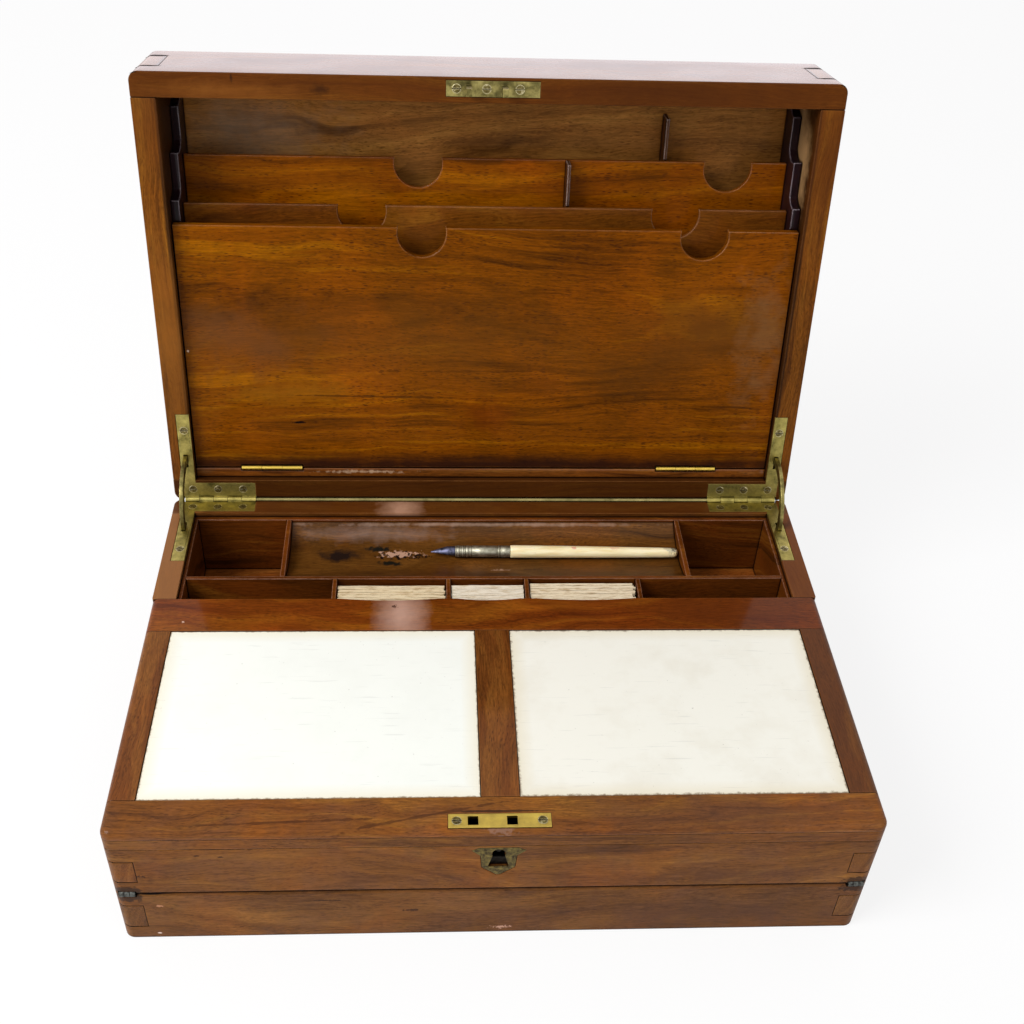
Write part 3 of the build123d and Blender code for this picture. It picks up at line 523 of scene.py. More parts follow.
    def _wear_highlight_and_shade(self, tree: NodeTree, log_mm: NodeSocket, colour: NodeSocket) -> tuple[NodeSocket,
            NodeSocket, NodeSocket]:
        """Rubbed edges that carry a painted highlight, painted shade with dark wax in the corners,
        and dirt in the fine lines of the joints.

        Args:
            tree: the material's nodes.
            log_mm: the place in the timber, in millimetres.
            colour: the clean timber.

        Returns:
            The worn colour with its painted highlights and shade, how far each point lies in a
            joint's line, and how far its edge is rubbed and highlit.
        """
        flat = flatness(tree, 1.1)
        near = add_node(tree, "AmbientOcclusion", {"Distance": self.seam_mm * MM}, samples=8,
            out="AO")
        seam = add_node(tree, "MapRange", {"Value": near, "From Min": 0.93, "From Max": 0.72,
            "To Min": 0.0, "To Max": 1.0})
        proud = add_node(tree, "MapRange", {"Value": near, "From Min": 0.88, "From Max": 0.98,
            "To Min": 0.0, "To Max": 1.0})
        patchy = add_node(tree, "TexNoise", {"Vector": log_mm, "Scale": 1 / 7, "Detail": 4.0})
        # paler edges: rubbed wear and a painted highlight along them
        edge = add_node(tree, "MapRange", {"Value": flat, "From Min": 0.985, "From Max": 0.84,
            "To Min": 0.0, "To Max": 2.4 * self.wear_and_highlight})
        broken = add_node(tree, "Math", {0: edge, 1: patchy}, operation="MULTIPLY")
        rubbed_and_highlit = add_node(tree, "Math", {0: broken, 1: proud}, operation="MULTIPLY")
        lighter = add_node(tree, "Mix", {0: rubbed_and_highlit, 6: colour, 7: self.rubbed_and_highlit}, data_type="RGBA",
            out=2)
        # painted shade with dark wax: the wood darker in its corners and crevices
        darker = shade_and_grime_in_corners(tree, lighter, "#160a04", 5.0, (0.62, 0.2), self.grime_and_shade)
        darkened_share = add_node(tree, "Math", {0: seam, 1: 0.88}, operation="MULTIPLY")
        jointed = add_node(tree, "Mix", {0: darkened_share, 6: darker, 7: "#120705"}, data_type="RGBA",
            out=2)
        return jointed, seam, rubbed_and_highlit

    def _relief(self, tree: NodeTree, fibres: NodeSocket) -> NodeSocket:
        """The slight sink of the pores and fibres under the polish.

        Args:
            tree: the material's nodes.
            fibres: the place along the waved fibres.

        Returns:
            The normal of the polished face.
        """
        drawn = add_node(tree, "Mapping", {"Vector": fibres, "Scale": (0.08, 1.0, 1.0)})
        dash = add_node(tree, "TexNoise", {"Vector": drawn, "Scale": 1.2, "Detail": 2.0})
        eased = add_node(tree, "Bevel", {"Radius": self.soften_mm * MM}, samples=4)
        bump = add_node(tree, "Bump", {"Height": dash, "Strength": 0.1, "Distance": 0.15 * MM,
            "Normal": eased})
        return bump


@dataclass(frozen=True)
class AgedBrass:
    """Rolled or turned brass with its lacquer gone.

    Handling keeps the edges and high spots yellow, and the flat faces dull to a greenish olive; the
    yellow edges also carry a painted highlight.
    """

    bright: str = "#cdb968"
    dull: str = "#9d9052"
    tarnish: str = "#6a6236"
    cover: float = 0.45
    roughness: tuple[float, float] = (0.3, 0.46)
    mottle_mm: float = 7.0
    # how dark the corners go: grime with painted shade
    grime_and_shade: float = 0.9

    def material(self, name: str, lean: float = 0.0) -> Material:
        """Makes the finish of one fitting.

        Args:
            name: the fitting's name.
            lean: how far its box is tilted at rest, in radians.

        Returns:
            The fitting's material.
        """
        material, tree = new_material("brass_" + name)
        place = add_node(tree, "TexCoord", out="Object")
        seed = seed_of(name)
        at_mm = add_node(tree, "Mapping", {"Vector": place, "Scale": (1 / MM, 1 / MM, 1 / MM),
            "Rotation": (lean, 0.0, 0.0), "Location": (seed * 700, seed * 300, 0.0)})
        mottle = add_node(tree, "TexNoise", {"Vector": at_mm, "Scale": 1 / self.mottle_mm,
            "Detail": 5.0, "Roughness": 0.65})
        metal = add_node(tree, "ValToRGB", {0: mottle}, stops=[(0.30, self.tarnish),
            (0.30 + 0.25 * self.cover, self.dull), (0.72, self.bright)])
        # brighter edges: rubbed brass that also carries a painted highlight
        edge = add_node(tree, "MapRange", {"Value": flatness(tree, 0.5), "From Min": 0.97,
            "From Max": 0.75, "To Min": 0.0, "To Max": 0.8})
        rubbed_and_highlit = add_node(tree, "Mix", {0: edge, 6: metal, 7: self.bright}, data_type="RGBA", out=2)
        # painted shade with grime: the brass darker in its corners and crevices
        grimy_and_shaded = shade_and_grime_in_corners(tree, rubbed_and_highlit, "#17120a", 2.0, (0.7, 0.25), self.grime_and_shade)
        gloss = add_node(tree, "MapRange", {"Value": mottle, "From Min": 0.3, "From Max": 0.7,
            "To Min": self.roughness[1], "To Max": self.roughness[0]})
        drawn = add_node(tree, "Mapping", {"Vector": at_mm, "Scale": (0.06, 1.0, 1.0)})
        scratch = add_node(tree, "TexNoise", {"Vector": drawn, "Scale": 1 / 0.5, "Detail": 2.0})
        relief = add_node(tree, "Bump", {"Height": scratch, "Strength": 0.18, "Distance": 0.1 * MM})
        shell = add_node(tree, "BsdfPrincipled", {"Base Color": grimy_and_shaded, "Metallic": 1.0,
            "Roughness": gloss, "Normal": relief})
        add_node(tree, "OutputMaterial", {"Surface": shell})
        return material


@dataclass(frozen=True)
class WorkedSteel:
    """Iron, nickel silver or blued steel: a grey metal, coloured by how it was finished."""

    colour: str
    stain: str
    roughness: float = 0.38
    mottle_mm: float = 2.5

    def material(self, name: str) -> Material:
        """Makes the finish of one metal piece and returns it.

        Args:
            name: the piece's name.

        Returns:
            The piece's material.
        """
        material, tree = new_material("metal_" + name)
        place = add_node(tree, "TexCoord", out="Object")
        mottle = add_node(tree, "TexNoise", {"Vector": place, "Scale": 1 / (self.mottle_mm * MM),
            "Detail": 4.0, "Roughness": 0.6})
        metal = add_node(tree, "ValToRGB", {0: mottle}, stops=[(0.34, self.stain),
            (0.58, self.colour)])
        # painted shade with grime: the metal darker in its corners
        grimy_and_shaded = shade_and_grime_in_corners(tree, metal, "#14130f", 1.2, (0.8, 0.3), 0.85)
        shell = add_node(tree, "BsdfPrincipled", {"Base Color": grimy_and_shaded, "Metallic": 1.0,
            "Roughness": self.roughness})
        add_node(tree, "OutputMaterial", {"Surface": shell})
        return material


@dataclass(frozen=True)
class PaintedTablet:
    """An erasable tablet: a smooth, hard, off-white painted face.

    Years of pencil leave it faintly smudged and scratched, and it is greyer at its edges: pencil
    dirt together with painted shade where the frame meets it.
    """

    colour: str
    smudge: str
    # colour of the greyer edges: pencil dirt with painted shade
    edge: str = "#b9ab92"
    smudges: float = 0.35
    halo: str = "#efe4c6"
    rim: str = "#8a6f4c"
    rim_mm: float = 0.6

    def material(self, name: str) -> Material:
        """Makes the finish of one tablet and returns it.

        Args:
            name: the tablet's name.

        Returns:
            The tablet's material.
        """
        material, tree = new_material("tablet_" + name)
        place = add_node(tree, "TexCoord", out="Object")
        seed = seed_of(name)
        at_mm = add_node(tree, "Mapping", {"Vector": place, "Scale": (1 / MM, 1 / MM, 1 / MM),
            "Location": (seed * 400, seed * 900, 0.0)})
        cloud = add_node(tree, "TexNoise", {"Vector": at_mm, "Scale": 1 / 28, "Detail": 5.0,
            "Roughness": 0.6})
        soft = add_node(tree, "MapRange", {"Value": cloud, "From Min": 0.48, "From Max": 0.78,
            "To Min": 0.0, "To Max": self.smudges})
        base = add_node(tree, "Mix", {0: soft, 6: self.colour, 7: self.smudge}, data_type="RGBA",
            out=2)
        slanted = add_node(tree, "Mapping", {"Vector": at_mm, "Rotation": (0.0, 0.0, 0.9),
            "Scale": (0.05, 1.0, 1.0)})
        streaks = add_node(tree, "TexNoise", {"Vector": slanted, "Scale": 1 / 1.1, "Detail": 2.0})
        fine = add_node(tree, "MapRange", {"Value": streaks, "From Min": 0.66, "From Max": 0.74,
            "To Min": 0.0, "To Max": 0.16})
        lined = add_node(tree, "Mix", {0: fine, 6: base, 7: "#8f9089"}, data_type="RGBA", out=2)
        specks = add_node(tree, "TexNoise", {"Vector": at_mm, "Scale": 1 / 1.3, "Detail": 1.0})
        dots = add_node(tree, "MapRange", {"Value": specks, "From Min": 0.76, "From Max": 0.82,
            "To Min": 0.0, "To Max": 0.35})
        dotted = add_node(tree, "Mix", {0: dots, 6: lined, 7: "#6f6555"}, data_type="RGBA", out=2)
        # painted shade with pencil dirt: greyer where the frame stands round the tablet
        edge_shaded = shade_and_grime_in_corners(tree, dotted, self.edge, 2.2, (0.97, 0.6), 0.9)
        rim, halo = self._rim(tree, name, place)
        warmed = add_node(tree, "Mix", {0: halo, 6: edge_shaded, 7: self.halo}, data_type="RGBA", out=2)
        browned = add_node(tree, "Mix", {0: rim, 6: warmed, 7: self.rim}, data_type="RGBA", out=2)
        shell = add_node(tree, "BsdfPrincipled", {"Base Color": browned, "Roughness": 0.55,
            "IOR": 1.45})
        add_node(tree, "OutputMaterial", {"Surface": shell})
        return material

    def _rim(self, tree: NodeTree, name: str, place: NodeSocket) -> tuple[NodeSocket, NodeSocket]:
        """How far the tablet's ragged, browned rim and the yellowing inside it cover each point.

        Args:
            tree: the material's nodes.
            name: the tablet's node.
            place: the surface's object coordinates.

        Returns:
            The cover of the rim, and of the yellowing.
        """
        low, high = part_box(name)
        centred = add_node(tree, "VectorMath", {0: place, 1: (low + high) / 2},
            operation="SUBTRACT")
        spread = add_node(tree, "VectorMath", {0: centred}, operation="ABSOLUTE")
        inward = add_node(tree, "VectorMath", {0: (high - low) / 2, 1: spread},
            operation="SUBTRACT")
        sides = add_node(tree, "SeparateXYZ", {0: inward}).node
        nearest = add_node(tree, "Math", {0: sides.outputs[0], 1: sides.outputs[1]},
            operation="MINIMUM")
        broken = add_node(tree, "TexNoise", {"Vector": place, "Scale": 1 / (3.0 * MM),
            "Detail": 5.0, "Roughness": 0.7})
        wander = add_node(tree, "Math", {0: broken, 1: -self.rim_mm * 5 * MM, 2: nearest},
            operation="MULTIPLY_ADD")
        cover = add_node(tree, "MapRange", {"Value": wander, "From Min": -1.4 * self.rim_mm * MM,
            "From Max": -2.6 * self.rim_mm * MM, "To Min": 0.0, "To Max": 0.8})
        yellow = add_node(tree, "MapRange", {"Value": nearest, "From Min": 9 * MM, "From Max": 0.0,
            "To Min": 0.0, "To Max": 0.6})
        return cover, yellow


@dataclass(frozen=True)
class PolishedBone:
    """Turned bone, worn smooth: warm cream with a soft inner glow and a few dark open canals."""

    colour: str = "#fdeec4"
    shadow: str = "#efd9a2"
    fleck: str = "#4d4434"

    def material(self, name: str, marks: tuple[Mark, ...]) -> Material:
        """Makes the finish of the handle.

        Args:
            name: the piece's name.
            marks: stains on it.

        Returns:
            The material.
        """
        material, tree = new_material("bone_" + name)
        place = add_node(tree, "TexCoord", out="Object")
        long = add_node(tree, "Mapping", {"Vector": place, "Scale": (0.12 / MM, 1 / MM, 1 / MM)})
        cloud = add_node(tree, "TexNoise", {"Vector": long, "Scale": 1 / 2.2, "Detail": 4.0})
        base = add_node(tree, "ValToRGB", {0: cloud}, stops=[(0.36, self.shadow),
            (0.58, self.colour)])
        canals = add_node(tree, "TexNoise", {"Vector": long, "Scale": 1 / 0.45, "Detail": 1.0})
        dark = add_node(tree, "MapRange", {"Value": canals, "From Min": 0.72, "From Max": 0.8,
            "To Min": 0.0, "To Max": 0.3})
        flecked = add_node(tree, "Mix", {0: dark, 6: base, 7: self.fleck}, data_type="RGBA", out=2)
        colour = flecked
        for mark in marks:
            colour = mark.paint(tree, place, colour)
        shell = add_node(tree, "BsdfPrincipled", {"Base Color": colour, "Roughness": 0.3,
            "IOR": 1.54, "Subsurface Weight": 0.12, "Subsurface Radius": (1.0, 0.7, 0.4),
            "Subsurface Scale": 0.8 * MM})
        add_node(tree, "OutputMaterial", {"Surface": shell})
        return material


@dataclass(frozen=True)
class CutCard:
    """Pasteboard cards, cut in a stack: matt, pale, with fibrous edges that have yellowed."""

    colour: str
    aged: str

    def material(self, name: str) -> Material:
        """Makes the finish of one pack and returns it.

        Args:
            name: the pack's name.

        Returns:
            The pack's material.
        """
        material, tree = new_material("card_" + name)
        place = add_node(tree, "TexCoord", out="Object")
        long = add_node(tree, "Mapping", {"Vector": place, "Scale": (0.12 / MM, 1 / MM, 0.5 / MM)})
        layers = add_node(tree, "TexNoise", {"Vector": long, "Scale": 1 / 0.9, "Detail": 4.0,
            "Roughness": 0.7})
        tone = add_node(tree, "ValToRGB", {0: layers}, stops=[(0.35, self.aged),
            (0.52, self.colour)])
        # painted shade with grime: darker in the narrow gaps between the cards
        grimy_and_shaded = shade_and_grime_in_corners(tree, tone, "#6e5236", 1.0, (0.6, 0.2), 0.8)
        shell = add_node(tree, "BsdfPrincipled", {"Base Color": grimy_and_shaded, "Roughness": 0.85,
            "IOR": 1.45})
        add_node(tree, "OutputMaterial", {"Surface": shell})
        return material


# ------------------------------------------------------------------------------ sub-assemblies


@dataclass(frozen=True)
class LidPlace:
    """Turns places on the closed lid into places on the lid as it stands open."""

    hinge_y_mm: float = BACK_MM
    rim_mm: float = 91.0

    def at(self, x: float, up: float, recess: float) -> tuple[float, float, float]:
        """A place in the open lid.

        Args:
            x: across the box, in millimetres.
            up: height along the lid from its hinge, in millimetres.
            recess: depth into the lid from its rim, in millimetres.

        Returns:
            The place in millimetres.
        """
        return (
            x,
            self.hinge_y_mm - up * math.cos(LID_LEAN) + recess * math.sin(LID_LEAN),
            self.rim_mm + up * math.sin(LID_LEAN) + recess * math.cos(LID_LEAN),
        )


@dataclass(frozen=True)
class Board:
    """One board: its node, finish, grain and marks."""

    node: str
    finish: PolishedWalnut
    grain: Grain
    lean: float = 0.0
    edge_mm: float = 0.4
    marks: tuple[Mark, ...] = ()
    outside: tuple[float, float, float] | None = None
    clamp: bool = False

    def build(self) -> None:
        """Dresses the board."""
        piece = dress(self.node, self.finish.material(self.node, self.grain, self.lean, self.marks,
            self.outside))
        ease(piece, self.edge_mm, clamp=self.clamp)
        log.info("dressed %s", self.node)


OUTER = PolishedWalnut(dark="#48280c", body="#704418", light="#8a5b24", flush="#80440e", film=0.14,
    seam_mm=1.8, bloom=0.42)
TRAY = replace(OUTER, dark="#42260e", body="#673f18", light="#805424", flush="#744012")
FRONT_RAIL = PolishedWalnut(dark="#4a2609", body="#764518", light="#925e20", flush="#8c4a0e",
    film=0.2, bloom=0.4)
FRAME = PolishedWalnut(dark="#452108", body="#683914", light="#82501f", flush="#743c0e", film=0.25)
REAR_RAIL = PolishedWalnut(dark="#461a06", body="#6c330a", light="#864a10", flush="#7c340a",
    film=0.3, film_roughness=0.08)
LID_RIM = PolishedWalnut(dark="#44230a", body="#6c3e10", light="#875618", flush="#78400c",
    film=0.08, film_ior=1.25, seam_mm=1.8)
LID_TOP_RIM = replace(LID_RIM, dark="#40200a", body="#663a10", light="#825218", flush="#723c0c",
    film=0.06)
BEAD = PolishedWalnut(dark="#3c1c06", body="#6a390d", light="#8a561c", flush="#78400e", film=0.8,
    soften_mm=2.2, film_roughness=0.12)
# FLAP, RACK, FRONT_DIVIDER and WELL: pale rubbed edges, which also paint the highlights along the
# tops of the flap, dividers and wells
FLAP = PolishedWalnut(dark="#462302", body="#713b01", light="#935802", flush="#884402",
    rubbed_and_highlit="#cf9a6c", pore_gap_mm=0.8, pore_long_mm=4.8, pores=0.72, wear_and_highlight=0.42, wave_mm=5.0,
    polish=0.02, film=0.04)
RACK = replace(FLAP, dark="#4e2602", body="#783e01", light="#935402", flush="#8c4202",
    rubbed_and_highlit="#c39372")
FRONT_DIVIDER = PolishedWalnut(dark="#472408", body="#66380b", light="#7c4c12", flush="#6c340a",
    rubbed_and_highlit="#c39372", wear_and_highlight=0.45, polish=0.02, film=0.04)
# rack partitions: a darker walnut as painted shade on their sides, with pale edges as painted
# highlight
SHADED_PARTITION = PolishedWalnut(dark="#24120a", body="#43250f", light="#553218", flush="#4a2810",
    rubbed_and_highlit="#c9b4ac", wear_and_highlight=1.0, polish=0.02, film=0.1)
BACK_PANEL = PolishedWalnut(dark="#573515", body="#8b5a27", light="#a47033", flush="#985e27",
    polish=0.02, film=0.04)
WELL = PolishedWalnut(dark="#402007", body="#5e2f0b", light="#7a4714", flush="#6c300a",
    rubbed_and_highlit="#b98a72", wear_and_highlight=0.6, polish=0.02, film=0.04)
WELL_FLOOR = replace(BACK_PANEL, dark="#5a2e12", body="#80461a", light="#985e26", flush="#8c4a16")
TROUGH = PolishedWalnut(dark="#2e1805", body="#56340f", light="#73491b", flush="#6c3a0c",
    wave_mm=10.0, film=0.3, film_roughness=0.25)
# ebonised cheeks; their pale edges and corners are painted glints
EBONISED = PolishedWalnut(dark="#0f070a", body="#1b0d12", light="#28151a", flush="#1c0a0e",
    rubbed_and_highlit="#a89ba2", wear_and_highlight=0.75, film=0.3, film_roughness=0.05, glint=1.0)
LID_FRONT_SIDE = (0.0, -math.cos(LID_LEAN), math.sin(LID_LEAN))


def glue_lines(y: float, *heights: float) -> tuple[Mark, ...]:
    """The dark lines above and below the fingers at both ends of a wall.

    Args:
        y: depth of the wall's outer face, in millimetres.
        heights: heights of the fingers' edges, in millimetres.

    Returns:
        The marks.
    """
    return tuple(Mark((side * 193.0, y, z), (8.6, 6.0), "#0d0503", 0.85, deep_mm=0.62, ragged=0.25,
        ragged_mm=2.5, soft=0.5) for z in heights for side in (-1, 1))


@dataclass
class LowerTray:
    """The shallow tray that the whole box stands on."""

    walls_x: tuple[str, ...] = ("tray_front_wall", "tray_back_wall")
    walls_y: tuple[str, ...] = ("tray_left_wall", "tray_right_wall")
    front_marks: tuple[Mark, ...] = (
        Mark((-180.0, FRONT_MM, 39.9), (11.0, 6.0), "#080302", 1.0, deep_mm=1.3, ragged=0.05),
        Mark((-193.0, FRONT_MM, 37.0), (9.0, 8.0), "#1c0f0b", 0.75, deep_mm=4.0, ragged=0.5,
            ragged_mm=3.0),
        Mark((193.0, FRONT_MM, 37.0), (9.0, 8.0), "#1c0f0b", 0.75, deep_mm=4.0, ragged=0.5,
            ragged_mm=3.0),
        Mark((-89.5, FRONT_MM, 32.0), (8.5, 6.0), "#2e160a", 0.75, deep_mm=0.7, ragged=0.6,
            ragged_mm=2.0),
        Mark((-45.8, FRONT_MM, 22.0), (4.4, 6.0), "#2e160a", 0.8, deep_mm=1.0, ragged=0.8,
            ragged_mm=2.0),
        Mark((3.4, FRONT_MM, 5.0), (4.6, 6.0), "#d8a890", 0.7, deep_mm=1.2, ragged=1.3,
            ragged_mm=1.2),
        Mark((-180.7, FRONT_MM, 4.2), (1.5, 6.0), "#efd2c0", 0.9, deep_mm=0.8, ragged=0.5,
            ragged_mm=1.0),
        Mark((-177.3, FRONT_MM, 29.2), (1.8, 6.0), "#c98e68", 0.6, deep_mm=0.9, ragged=1.0,
            ragged_mm=1.0),
        # painted shade: the right part of the tray's front darker
        Mark((120.0, FRONT_MM, 14.0), (75.0, 6.0), "#523324", 0.55, deep_mm=12.0, ragged_mm=14.0,
            soft=0.9),
        Mark((20.0, FRONT_MM, 40.0), (180.0, 6.0), "#97795b", 0.6, deep_mm=0.35, ragged=1.3,
            ragged_mm=3.0),
    )

    def build(self) -> None:
        """Dresses the tray's boards."""
        for node in self.walls_x:
            marks = self.front_marks if node == "tray_front_wall" else ()
            marks += glue_lines(FRONT_MM if node == "tray_front_wall" else BACK_MM, 10.5, 29.5)
            Board(node, TRAY, Grain.ALONG_LENGTH, edge_mm=0.55, marks=marks).build()
        for node in self.walls_y:
            Board(node, TRAY, Grain.ALONG_DEPTH, edge_mm=0.55).build()
        Board("tray_bottom_board", BACK_PANEL, Grain.ALONG_LENGTH).build()


@dataclass
class UpperCase:
    """The upper case: walls, writing frame, wells, pen trough and small compartments."""

    linings_edge_mm: float = 0.35
    front_marks: tuple[Mark, ...] = (
        Mark((-153.5, FRONT_MM, 72.7), (1.8, 6.0), "#33190c", 0.8, deep_mm=0.9, ragged_mm=1.0),
        Mark((-141.4, FRONT_MM, 71.2), (1.6, 6.0), "#33190c", 0.8, deep_mm=0.8, ragged_mm=1.0),
        Mark((-184.0, FRONT_MM, 55.3), (4.0, 6.0), "#2a1309", 0.8, deep_mm=1.1, ragged=1.0,
            ragged_mm=1.5),
        Mark((-140.0, FRONT_MM, 77.8), (21.0, 6.0), "#241006", 0.85, deep_mm=0.35, ragged=0.9,
            ragged_mm=2.5),
        Mark((-193.0, FRONT_MM, 43.0), (9.0, 8.0), "#1c0f0b", 0.75, deep_mm=4.0, ragged=0.5,
            ragged_mm=3.0),
        Mark((193.0, FRONT_MM, 43.0), (9.0, 8.0), "#1c0f0b", 0.75, deep_mm=4.0, ragged=0.5,
            ragged_mm=3.0),
        # painted shade: the right part of the front wall darker
        Mark((130.0, FRONT_MM, 50.0), (60.0, 6.0), "#54331f", 0.6, deep_mm=9.0, ragged_mm=14.0,
            soft=0.9),
        # painted shade: the keyhole's bore near black
        Mark((0.0, -127.5, 65.0), (8.0, 7.0), "#0a0604", 1.0, deep_mm=8.5, ragged=0.05),
    )
    rail_marks: tuple[Mark, ...] = (
        Mark((0.0, -120.6, 91.0), (29.0, 0.9), "#2a1409", 0.8, ragged=0.3, ragged_mm=3.0),
        # painted shade: the right half of the front rail darker
        Mark((120.0, -125.0, 91.0), (95.0, 16.0), "#5b3925", 0.55, ragged=0.3, ragged_mm=20.0,
            soft=0.9),
        Mark((-112.0, -126.2, 91.0), (54.0, 0.9), "#3a1a08", 0.6, turn=2.0, ragged=0.7,
            ragged_mm=9.0),
        Mark((-42.0, -124.0, 91.0), (52.0, 1.0), "#3a1a08", 0.6, turn=12.0, ragged=0.7,
            ragged_mm=9.0),
        Mark((1.0, -131.0, 90.0), (7.0, 2.0), "#9a7a6c", 0.4, ragged=0.9, ragged_mm=3.0),
    )
    rear_marks: tuple[Mark, ...] = (
        # painted reflection: a pale, hazy patch on the rear rail
        Mark((-52.0, 24.5, 90.0), (19.0, 36.0), "#c9a290", 0.75, ragged=0.12, ragged_mm=8.0,
            deep_mm=20.0, soft=0.9),
        Mark((-56.3, 31.0, 90.0), (1.8, 1.3), "#33150c", 0.8, ragged=1.0, ragged_mm=0.8),
        Mark((-179.1, 18.3, 90.0), (0.9, 0.8), "#d8b49c", 0.9, ragged=0.8, ragged_mm=0.8),
        # painted shade: the right half of the rear rail darker
        Mark((130.0, 24.5, 90.0), (90.0, 30.0), "#4e2009", 0.5, ragged=0.2, ragged_mm=20.0,
            deep_mm=20.0, soft=0.9),
    )
    # painted light: the left wall's top edge lighter, as the light falls from the left
    lit_left_wall: Mark = Mark((-193.0, 60.0, 91.0), (30.0, 120.0), "#93623a", 0.75, ragged=0.15,
        deep_mm=3.0)
    # painted shade: the right wall's top edge darker, away from the light
    shaded: Mark = Mark((193.0, 60.0, 91.0), (30.0, 120.0), "#6a3818", 0.7, ragged=0.15,
        deep_mm=3.0)
    # painted shade: the right stile darker, away from the light
    stile_shade: Mark = Mark((192.0, -50.0, 91.0), (30.0, 140.0), "#4a2812", 0.5, ragged=0.15,
        deep_mm=20.0)
    # painted shade: the right-hand wells darker
    right_well_shade: tuple[Mark, ...] = (
        Mark((158.0, 88.0, 74.0), (46.0, 42.0), "#1a0c03", 0.4, ragged=0.1, deep_mm=30.0, soft=0.9),
    )
    back_marks: tuple[Mark, ...] = (
        Mark((0.0, 126.0, 91.0), (320.0, 12.0), "#4c2508", 0.8, ragged=0.1, ragged_mm=20.0,
            deep_mm=4.0),
        # painted reflection: a pale patch on the top of the back wall
        Mark((-54.0, 122.0, 91.0), (18.0, 18.0), "#b98d72", 0.8, ragged=0.2, ragged_mm=8.0,
            soft=0.9),
    )
    trough_marks_and_sheen: tuple[Mark, ...] = (
        Mark((-93.0, 89.0, 80.0), (15.0, 7.0), "#1d130f", 1.0, ragged=0.35, ragged_mm=6.0,
            deep_mm=12.0, soft=0.6),
        Mark((-68.0, 95.5, 80.0), (9.0, 3.0), "#141510", 1.0, ragged=0.5, ragged_mm=3.0,
            deep_mm=12.0, soft=0.5),
        Mark((-60.0, 82.0, 80.0), (8.0, 3.0), "#14150f", 1.0, ragged=0.5, ragged_mm=3.0,
            deep_mm=12.0, soft=0.5),
        Mark((-55.0, 90.0, 80.0), (11.0, 3.4), "#0f0b0a", 1.0, ragged=1.1, ragged_mm=2.2,
            deep_mm=12.0),
        Mark((-54.0, 91.0, 80.0), (12.0, 2.6), "#c79c82", 0.8, ragged=1.1, ragged_mm=2.4,
            deep_mm=12.0),
        Mark((-42.0, 89.0, 80.0), (5.0, 1.4), "#0f0b0a", 1.0, ragged=1.5, ragged_mm=1.6,
            deep_mm=12.0),
        Mark((9.0, 74.0, 82.0), (5.0, 1.0), "#c9a184", 0.5, ragged=1.3, ragged_mm=1.5,
            deep_mm=12.0),
        Mark((30.0, 74.5, 82.0), (6.0, 1.2), "#2a1a10", 0.6, ragged=1.3, ragged_mm=1.5,
            deep_mm=12.0),
        # painted highlight: a pale line along the trough's back edge
        Mark((0.0, 113.6, 84.0), (128.0, 1.5), "#bfa08c", 0.4, ragged=0.6, ragged_mm=9.0,
            deep_mm=12.0, soft=0.9),
        # painted sheen: a pale grey patch at the trough's left end
        Mark((-72.0, 107.0, 84.0), (56.0, 8.0), "#8d766c", 0.45, ragged=0.4, ragged_mm=9.0,
            deep_mm=12.0, soft=0.9),
        # darker along the front of the trough
        Mark((0.0, 68.0, 84.0), (130.0, 9.0), "#3a1c08", 0.5, ragged=0.3, ragged_mm=12.0,
            deep_mm=12.0, soft=0.9),
    )

    def build(self) -> None:
        """Dresses the case's boards."""
        Board("case_front_wall", OUTER, Grain.ALONG_LENGTH, edge_mm=0.55,
            marks=self.front_marks + glue_lines(FRONT_MM, 50.5, 67.5)).build()
        Board("case_back_wall", OUTER, Grain.ALONG_LENGTH, marks=self.back_marks,
            clamp=True).build()
        Board("case_left_wall", OUTER, Grain.ALONG_DEPTH, edge_mm=0.55,
            marks=(self.lit_left_wall,)).build()
        Board("case_right_wall", OUTER, Grain.ALONG_DEPTH, edge_mm=0.55,
            marks=(self.shaded,)).build()
        Board("writing_bed_board", OUTER, Grain.ALONG_LENGTH, edge_mm=0.2).build()
        Board("frame_front_rail", FRONT_RAIL, Grain.ALONG_LENGTH, marks=self.rail_marks).build()
        Board("frame_rear_rail", REAR_RAIL, Grain.ALONG_LENGTH, marks=self.rear_marks).build()
        for node in ("frame_left_stile", "frame_muntin"):
            Board(node, FRAME, Grain.ALONG_DEPTH).build()
        Board("frame_right_stile", FRAME, Grain.ALONG_DEPTH, marks=(self.stile_shade,)).build()
        # painted shade: the well floor darker at its underside
        under = Mark((0.0, 88.0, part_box("well_floor")[0].z / MM), (420.0, 90.0), "#52300f", 0.75,
            ragged=0.1, ragged_mm=20.0, deep_mm=3.6)
        Board("well_floor", WELL_FLOOR, Grain.ALONG_LENGTH,
            marks=self.right_well_shade + (under,)).build()
        for node in ("compartment_cross_wall", "long_divider"):
            Board(node, WELL, Grain.ALONG_LENGTH, edge_mm=self.linings_edge_mm).build()
        for node in ("tray_linings", "well_dividers", "compartment_partitions"):
            Board(node, WELL, Grain.ALONG_LENGTH, edge_mm=self.linings_edge_mm,
                marks=self.right_well_shade).build()
        Board("pen_trough", TROUGH, Grain.ALONG_LENGTH, marks=self.trough_marks_and_sheen).build()


@dataclass
class WritingTablets:
    """The two pale tablets in the writing frame."""

    left: PaintedTablet = PaintedTablet("#f8faf3", "#eceee6")
    right: PaintedTablet = PaintedTablet("#f5f3e8", "#e4decd", smudges=0.5, halo="#e6dabb",
        rim="#6f5233", rim_mm=1.0)

    def build(self) -> None:
        """Dresses both tablets."""
        for node, finish in (("left_tablet", self.left), ("right_tablet", self.right)):
            ease(dress(node, finish.material(node)), 0.3)
            log.info("dressed %s", node)


